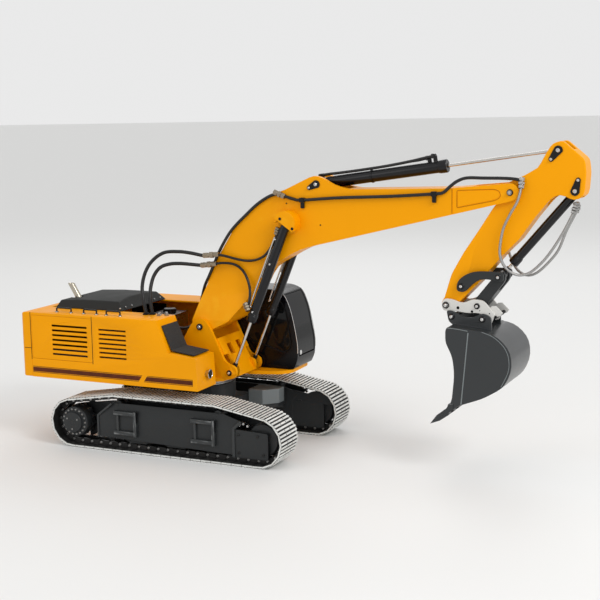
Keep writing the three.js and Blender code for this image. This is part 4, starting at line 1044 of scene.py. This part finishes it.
def add_cylinder(name, rod_name, base, end, y, size):
    """A barrel with its gland and eye, and its rod with its eye; returns the barrel's direction."""
    bx, bz = base
    ex, ez = end
    span = math.hypot(ex - bx, ez - bz)
    ux, uz = (ex - bx) / span, (ez - bz) / span
    axis = (ux, 0, uz)
    r, length, eye, half = size["barrel"], size["length"], size["eye"], size["half"]
    barrel = turned([
        (0, eye * 0.5), (r * 0.8, eye * 0.6), (r, eye + 1), (r, length - 12), (r + 0.7, length - 11.6),
        (r + 0.7, length - 10), (r + 1, length - 9.6), (r + 1, length - 1), (r + 0.5, length), (3, length),
        (3, length - 2), (0, length - 2),
    ], (bx, y, bz), axis, sides=44)
    rod((bx, y, bz), ACROSS, eye, -half, half, barrel, 36)
    rounded(place(f"{name}_skin", barrel, BARREL, name, [name]), 0.4, 2, 40)

    rod_mesh = rod((ex, y, ez), (-ux, 0, -uz), size["rod"], 0, span - length + 8, sides=28)
    place(f"{rod_name}_skin", rod_mesh, CHROME, rod_name, [rod_name])
    bore, outer = size["bore"], size["rod_eye"]
    neck = [(outer * 0.6, 0), (outer * 0.6, 6), (3.2, 8), (3.2, 11), (2, 11.4), (2, 0)]
    rod_end = turned(neck, (ex - ux * 2, y, ez - uz * 2), (-ux, 0, -uz), sides=28)
    turned([(bore, -half), (outer, -half), (outer, half), (bore, half)], (ex, y, ez), ACROSS, rod_end, 32)
    rounded(place(f"{rod_name}_eye", rod_end, BLACK, rod_name), 0.3, 2, 40)
    return ux, uz


BOOM_SIZES = {
    "barrel": 6.2, "length": 146, "eye": 6.2, "half": 3.6, "rod": 2.1, "rod_eye": 5.4, "bore": 2.4,
}
STICK_SIZES = {
    "barrel": 7.6, "length": 174, "eye": 8, "half": 6.5, "rod": 2.1, "rod_eye": 6.4, "bore": 3.0,
}
BUCKET_SIZES = {
    "barrel": 5.6, "length": 121, "eye": 6.5, "half": 6, "rod": 2.1, "rod_eye": 5.6, "bore": 3.0,
}

for side_name, side in SIDES:
    names = (f"boom_cylinder_{side_name}", f"boom_rod_{side_name}")
    y = side * BOOM_CYLINDER_Y
    ux, uz = add_cylinder(*names, BOSS, ROD_EYE, y, BOOM_SIZES)
    pipes = bmesh.new()
    # Oil pipes lie along the rear of the barrel: nx, nz point out of it there.
    nx, nz = uz, -ux
    if nx > 0:
        nx, nz = -nx, -nz
    for start, stop, off in ((26, 128, -2.2), (40, 86, 2.2)):
        rise = ((start, 4), (start + 2, 7.4), (start + 6, 8.2), (stop - 6, 8.2), (stop - 2, 7.4), (stop, 4))
        route = [
            (BOSS[0] + ux * distance + nx * lift, y + off, BOSS[1] + uz * distance + nz * lift)
            for distance, lift in rise
        ]
        swept(route, 1.1, pipes, sides=12)
    place(f"barrel_pipes_{side_name}", pipes, CHROME, names[0])
    screws = bmesh.new()
    for distance in (60, 131):
        spot = (BOSS[0] + ux * distance, y + side * 6.6, BOSS[1] + uz * distance)
        bolt(spot, (0, side, 0), 1.3, screws)
    place(f"barrel_screws_{side_name}", screws, BRIGHT_STEEL_AND_HIGHLIGHT, names[0], smooth=25)

ux, uz = add_cylinder("stick_cylinder", "stick_rod", STICK_BASE, STICK_TOP, 0, STICK_SIZES)
hoses = bmesh.new()
fittings = bmesh.new()


def by_stick_barrel(distance, lift, y=0.0):
    """A place beside the stick cylinder: along it from its base, and out from its axis."""
    return STICK_BASE[0] + ux * distance - uz * lift, y, STICK_BASE[1] + uz * distance + ux * lift


for lane, far, top in ((-3.2, 156, 13.5), (3.2, 146, 12.0)):
    stations = (
        (4, 10.5), (12, 10.8), (30, 10.4), (60, 10.2), (95, 10.6), (125, 12.0), (far - 12, top),
        (far, top + 1),
    )
    swept([by_stick_barrel(distance, lift, lane) for distance, lift in stations], 1.9, hoses, sides=14)
    nut = [(0, 0), (2.6, 0), (3.2, 0.6), (3.2, 3.4), (2.7, 4), (2.7, 6.5), (0, 6.5)]
    turned(nut, by_stick_barrel(far - 1, top + 1, lane), (ux, 0, uz), fittings, 6)
    rod(by_stick_barrel(far + 4, 6, lane), (-uz, 0, ux), 2.7, 0, top - 5, fittings)
    rod(by_stick_barrel(-2, 10.4, lane), (ux, 0, uz), 2.5, 0, 5, fittings, 6)
turned([(8.0, 0), (8.4, 0.3), (8.4, 2.4), (8.0, 2.7)], by_stick_barrel(70, 0), (ux, 0, uz), fittings, 40)
place("stick_cylinder_hoses", hoses, HOSE, "stick_cylinder")
place("stick_cylinder_fittings", fittings, BLACK, "stick_cylinder", smooth=25)
add_cylinder("bucket_cylinder", "bucket_rod", BUCKET_TOP, ROCKER_PIN, 0, BUCKET_SIZES)

for side in (-1, 1):
    for spot, y, radius, body in (
        (BOOM_FOOT[::2], 40.2, 4.6, "upper"), (ROD_EYE, 40.2, 4.0, "upper"),
        ((367.4, 212.8), 19.2, 4.4, "bucket"), ((408, 213.6), 18.8, 3.8, "bucket"),
        ((376, 199.3), 22.6, 4.2, "bucket"), ((416, 198), 22.6, 4.2, "bucket"),
        (ROCKER_PIN, 20.5, 3.9, "rocker"), ((388, 238), 21.4, 3.9, "rocker"),
        ((449, 356), 21.2, 3.8, "boom"),
    ):
        pin_cap(spot, side * y, side, radius, body)
    for spot, y, degrees, radius, reach, body in (
        (STICK_BASE, 21, 205, 5.4, 10.8, "boom"), (STICK_TOP, 15, -128, 5.6, 13.6, "stick"),
        (BUCKET_TOP, 15, 75, 5.6, 13.6, "stick"),
    ):
        retainer(spot, side * y, side, math.radians(degrees), radius, reach, body)
    for x, z in ((146.5, 318), (164, 305.5)):
        bolt((x, side * 38.9, z), (0, side, 0), 2.0, caps["boom"], 1.0)
for body, mesh in caps.items():
    rounded(place(f"pin_caps_{body}", mesh, BLACK, body), 0.2, 1, 40)
for body, mesh in cap_bolts.items():
    place(f"pin_bolts_{body}", mesh, BRIGHT_STEEL_AND_HIGHLIGHT, body, smooth=25)

# ---- Hoses ----


UPPER_FEED = [
    (-46, -67, 180), (-46, -67, 185.5), (-50, -66, 204), (-54, -62, 221), (-53, -55, 240), (-46, -47, 256),
    (-32, -38, 267), (-12, -32, 268.5), (6, -30, 267), (22, -29.5, 264.5), (30, -29.5, 264.2),
]
LOWER_FEED = [
    (-38, -64, 180), (-38, -64, 185.5), (-41, -63, 204), (-43, -58, 220), (-42, -50, 236), (-36, -42, 247),
    (-26, -34, 251), (-12, -31, 252), (4, -30, 251.5), (18, -29.5, 250.8), (26, -29.5, 251),
]
for name, route in (("upper", UPPER_FEED), ("lower", LOWER_FEED)):
    hose = place(f"feed_hose_{name}_skin", swept(route, 2.5), HOSE, None, [f"feed_hose_{name}"])
    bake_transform(hose)

BOOM_ROUTE = [
    (-52, -20, 157), (-44, -18, 160), (-32, -15, 159), (-16, -11, 158), (-4, -8.5, 166), (4, -9, 184),
    (12, -13, 204), (20, -18.5, 221), (29, -22.5, 235), (38, -23.6, 252), (49, -23.6, 274),
    (66, -23.6, 299), (88, -23.6, 320), (107, -23.6, 336), (125, -23.6, 346.5), (137, -23.8, 349),
    (149, -24, 346), (160, -24, 343), (172, -24, 342), (226, -24, 346), (295, -24, 349),
    (353, -24, 353), (365, -23, 355), (373, -22, 362), (382, -19, 369), (394, -17.8, 373),
    (415, -17.6, 373), (441, -17.6, 373), (456, -18, 372), (462, -19, 370),
]
hose = place("boom_hose_skin", swept(BOOM_ROUTE, 2.1), HOSE, None, ["boom_hose"])
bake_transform(hose)

for side_name, sign in SIDES:
    slack = 3 if sign > 0 else 0
    route = [
        (463, 18, 372), (462.5, 22.5, 358), (459, 23.8, 345), (451, 23.6, 331), (442, 22, 313), (438, 21, 295),
        (437, 20, 280), (441 + slack, 18, 267 - slack), (449 + slack, 15, 258 - slack),
        (460 + slack, 12, 254 - slack), (473 + slack, 9, 258 - slack), (488 + slack, 8, 272 - slack),
        (500 + slack, 8, 288 - slack), (512, 8, 308), (522, 7.6, 328), (526, 6.5, 338), (524, 4.5, 344),
    ]
    mesh = swept([(x, sign * y, z) for x, y, z in route], 1.7, sides=16)
    hose = place(f"braided_hose_{side_name}_skin", mesh, BRAID, None, [f"braided_hose_{side_name}"])
    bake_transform(hose)

UPPER_BARREL = [
    (46, -29.5, 266.4), (58, -27.5, 264.5), (72, -25, 261), (89, -25, 259), (104, -26, 261), (117, -28, 267),
    (127, -30, 277), (135, -31, 290), (139, -31, 301),
]
LOWER_BARREL = [
    (42, -29.5, 253.4), (56, -27.5, 255), (71, -25, 253), (83, -25, 245), (91, -27, 233), (95, -29, 220),
    (96, -33, 207), (94, -36, 198),
]
for name, route in (("upper", UPPER_BARREL), ("lower", LOWER_BARREL)):
    hose = place(f"barrel_hose_{name}", swept(route, 1.8), HOSE, None)
    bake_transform(hose)

def coupling(start, end, mesh):
    """Adds two hexagon nuts and a collar that join one hose to the next."""
    way = Vector(end) - Vector(start)
    # Each part's start and end as shares of the length, its radius and its number of sides.
    parts = (
        (0, 0.34, 3.8, 6), (0.3, 0.42, 3.0, 20), (0.4, 0.66, 4.4, 6), (0.62, 0.74, 3.0, 20), (0.7, 1, 3.8, 6),
    )
    for low, high, radius, sides in parts:
        long = (high - low) * way.length
        neck = radius * 0.86
        profile = [(0, 0), (neck, 0), (radius, 0.5), (radius, long - 0.5), (neck, long), (0, long)]
        turned(profile, tuple(Vector(start) + way * low), tuple(way), mesh, sides)


HOSE_JOINTS = {
    "boom": (
        ((25, -29.5, 264.2), (49, -29.3, 266.6)), ((21, -29.5, 250.6), (45, -29.3, 253.8)),
        ((131, -23.7, 352.2), (147, -23.9, 346)),
    ),
    "boom_cylinder_right": (
        ((90.5, -35, 203), (96.5, -38, 193)), ((137, -30.5, 296), (140, -30.5, 306)),
    ),
}
for name, body in (("hose_couplings", "boom"), ("barrel_couplings", "boom_cylinder_right")):
    mesh = bmesh.new()
    for start, end in HOSE_JOINTS[body]:
        coupling(start, end, mesh)
    place(name, mesh, BRASS, body, smooth=25)

collars = bmesh.new()
collar = [(2.2, -1), (3.6, -1), (4.6, 0), (4.6, 1.2), (3.2, 2.6), (2.2, 2.8)]
for x, y in ((-46, -67), (-38, -64)):
    turned(collar, (x, y, DECK_TOP), UP, collars, 24)
place("hose_grommets", collars, MATT_BLACK, "upper")
cluster = bmesh.new()
fitting = [(0, 0), (3, 0), (3, 1), (2.2, 1.4), (2.2, 3), (1.4, 3.6), (0, 3.6)]
for x, y in ((-27, -63), (-20, -57), (-24, -70), (-15, -64)):
    turned(fitting, (x, y, DECK_TOP), UP, cluster, 20)
place("top_fittings", cluster, STEEL, "upper")
bracket_bars = bmesh.new()
for x, z in ((33, 265), (29, 252)):
    rod((x, -29, z), ACROSS, 1.6, 0, 9, bracket_bars, 14)
place("coupling_studs", bracket_bars, STEEL, "boom")

# Thin tubes of darker yellow trace the relief panel's outline and the step beside it: painted shadow in the
# grooves.
groove_shadow_lines = bmesh.new()
groove_shadow_route = eased([(382, 357.6, 2), (434, 360, 9), (438.5, 352, 7), (433, 346.5, 8), (382, 336, 2)], 6)
for side in (-1, 1):
    outline = [(x, side * 21.05, z) for x, z in groove_shadow_route]
    swept(outline + outline[:1], 0.4, groove_shadow_lines, 6, 1)
    swept([(375.6, side * 21.05, 329), (375.6, side * 21.05, 360)], 0.4, groove_shadow_lines, 6, 1)
place("boom_groove_shadows", groove_shadow_lines, GROOVE_SHADOW, "boom")
relief = slab([(376.4, 329), (377.6, 329), (377.6, 359.4), (376.4, 359.4)], -21.5, 21.5)
panel = eased([(383, 356.6, 1.5), (433, 358.8, 8), (437, 352, 6), (432, 347.6, 7), (383, 337.2, 1.5)], 5)
slab(panel, -21.5, -20.5, relief)
slab(panel, 20.5, 21.5, relief)
rounded(place("boom_relief", relief, YELLOW, "boom"), 0.45, 2)
# Thin black discs on the boom's sides: painted shade standing for rivet holes.
rivet_hole_shades = bmesh.new()
for x, z in ((147.9, 336.9), (196.5, 309.5), (366, 354.5)):
    for side in (-1, 1):
        rod((x, side * 20.9, z), (0, side, 0), 1.1, 0, 0.25, rivet_hole_shades)
place("rivet_hole_shadows", rivet_hole_shades, MATT_BLACK, "boom")

clamps = bmesh.new()
for x, z in ((172, 342), (353, 353)):
    block(x - 3.4, x + 3.4, -27, -20.8, z - 3.2, z + 3.2, clamps)
    block(x - 2.6, x + 2.6, -24.5, -20.8, z - 11, z - 2, clamps)
rounded(place("hose_clamps", clamps, BLACK, "boom"), 0.8)

ends = bmesh.new()
for side in (-1, 1):
    coupling((462.6, side * 16.5, 374), (463, side * 21.5, 361), ends)
rounded(place("tip_fittings", ends, STEEL, "boom"), 0.2, 1)
ends = bmesh.new()
for side in (-1, 1):
    coupling((523.5, side * 7.6, 331), (526.5, side * 6.2, 341), ends)
    rod((526.5, side * 7.4, 342), (-0.4, -side, 0), 2.4, 0, 6, ends, 14)
rounded(place("bucket_cylinder_fittings", ends, STEEL, "bucket_cylinder"), 0.2, 1)

# ---- Stage ----

floor_mesh = bmesh.new()
bmesh.ops.create_grid(floor_mesh, x_segments=1, y_segments=1, size=40.0)
floor_data = bpy.data.meshes.new("floor")
floor_mesh.to_mesh(floor_data)
floor_mesh.free()
floor = bpy.data.objects.new("floor", floor_data)
bpy.context.scene.collection.objects.link(floor)
floor_data.materials.append(new_material("floor", (0.80, 0.80, 0.79), 0.7)[0])

EYE = machine(862.6, -1509.6, 470.5)
AZIMUTH, TILT, ROLL = math.radians(25.1), math.radians(9.04), math.radians(-0.93)
look = Vector((-math.sin(AZIMUTH) * math.cos(TILT), math.cos(AZIMUTH) * math.cos(TILT), -math.sin(TILT)))
right = Vector((math.cos(AZIMUTH), math.sin(AZIMUTH), 0))
up = right.cross(look)
rolled_right = right * math.cos(ROLL) + up * math.sin(ROLL)
rolled_up = up * math.cos(ROLL) - right * math.sin(ROLL)
camera_data = bpy.data.cameras.new("camera")
camera_data.lens = 75.22
camera_data.sensor_width = 36
camera_data.clip_end = 30
camera = bpy.data.objects.new("camera", camera_data)
bpy.context.scene.collection.objects.link(camera)
camera.matrix_world = Matrix.Translation(EYE) @ Matrix((rolled_right, rolled_up, -look)).transposed().to_4x4()
bpy.context.scene.camera = camera


def area_light(name, place_at, aim, size, watts, color=(1, 1, 1)):
    data = bpy.data.lights.new(name, "AREA")
    data.shape = "DISK"
    data.size = size
    data.energy = watts
    data.color = color
    light = bpy.data.objects.new(name, data)
    bpy.context.scene.collection.objects.link(light)
    light.location = place_at
    way = Vector(aim) - Vector(place_at)
    light.rotation_euler = way.to_track_quat("-Z", "Y").to_euler()


area_light("key", (1.6, -0.7, 1.5), (0.05, 0, 0.15), 0.8, 17)
area_light("fill", (-1.4, -1.9, 1.3), (0, 0, 0.15), 1.2, 4)
area_light("back", (-0.6, 1.9, 1.7), (0, 0, 0.15), 1.2, 7)

world = bpy.data.worlds.new("studio")
world.use_nodes = True
world.node_tree.nodes["Background"].inputs["Color"].default_value = (1, 1, 1, 1)
world.node_tree.nodes["Background"].inputs["Strength"].default_value = 0.82
bpy.context.scene.world = world
bpy.context.scene.view_settings.view_transform = "Standard"
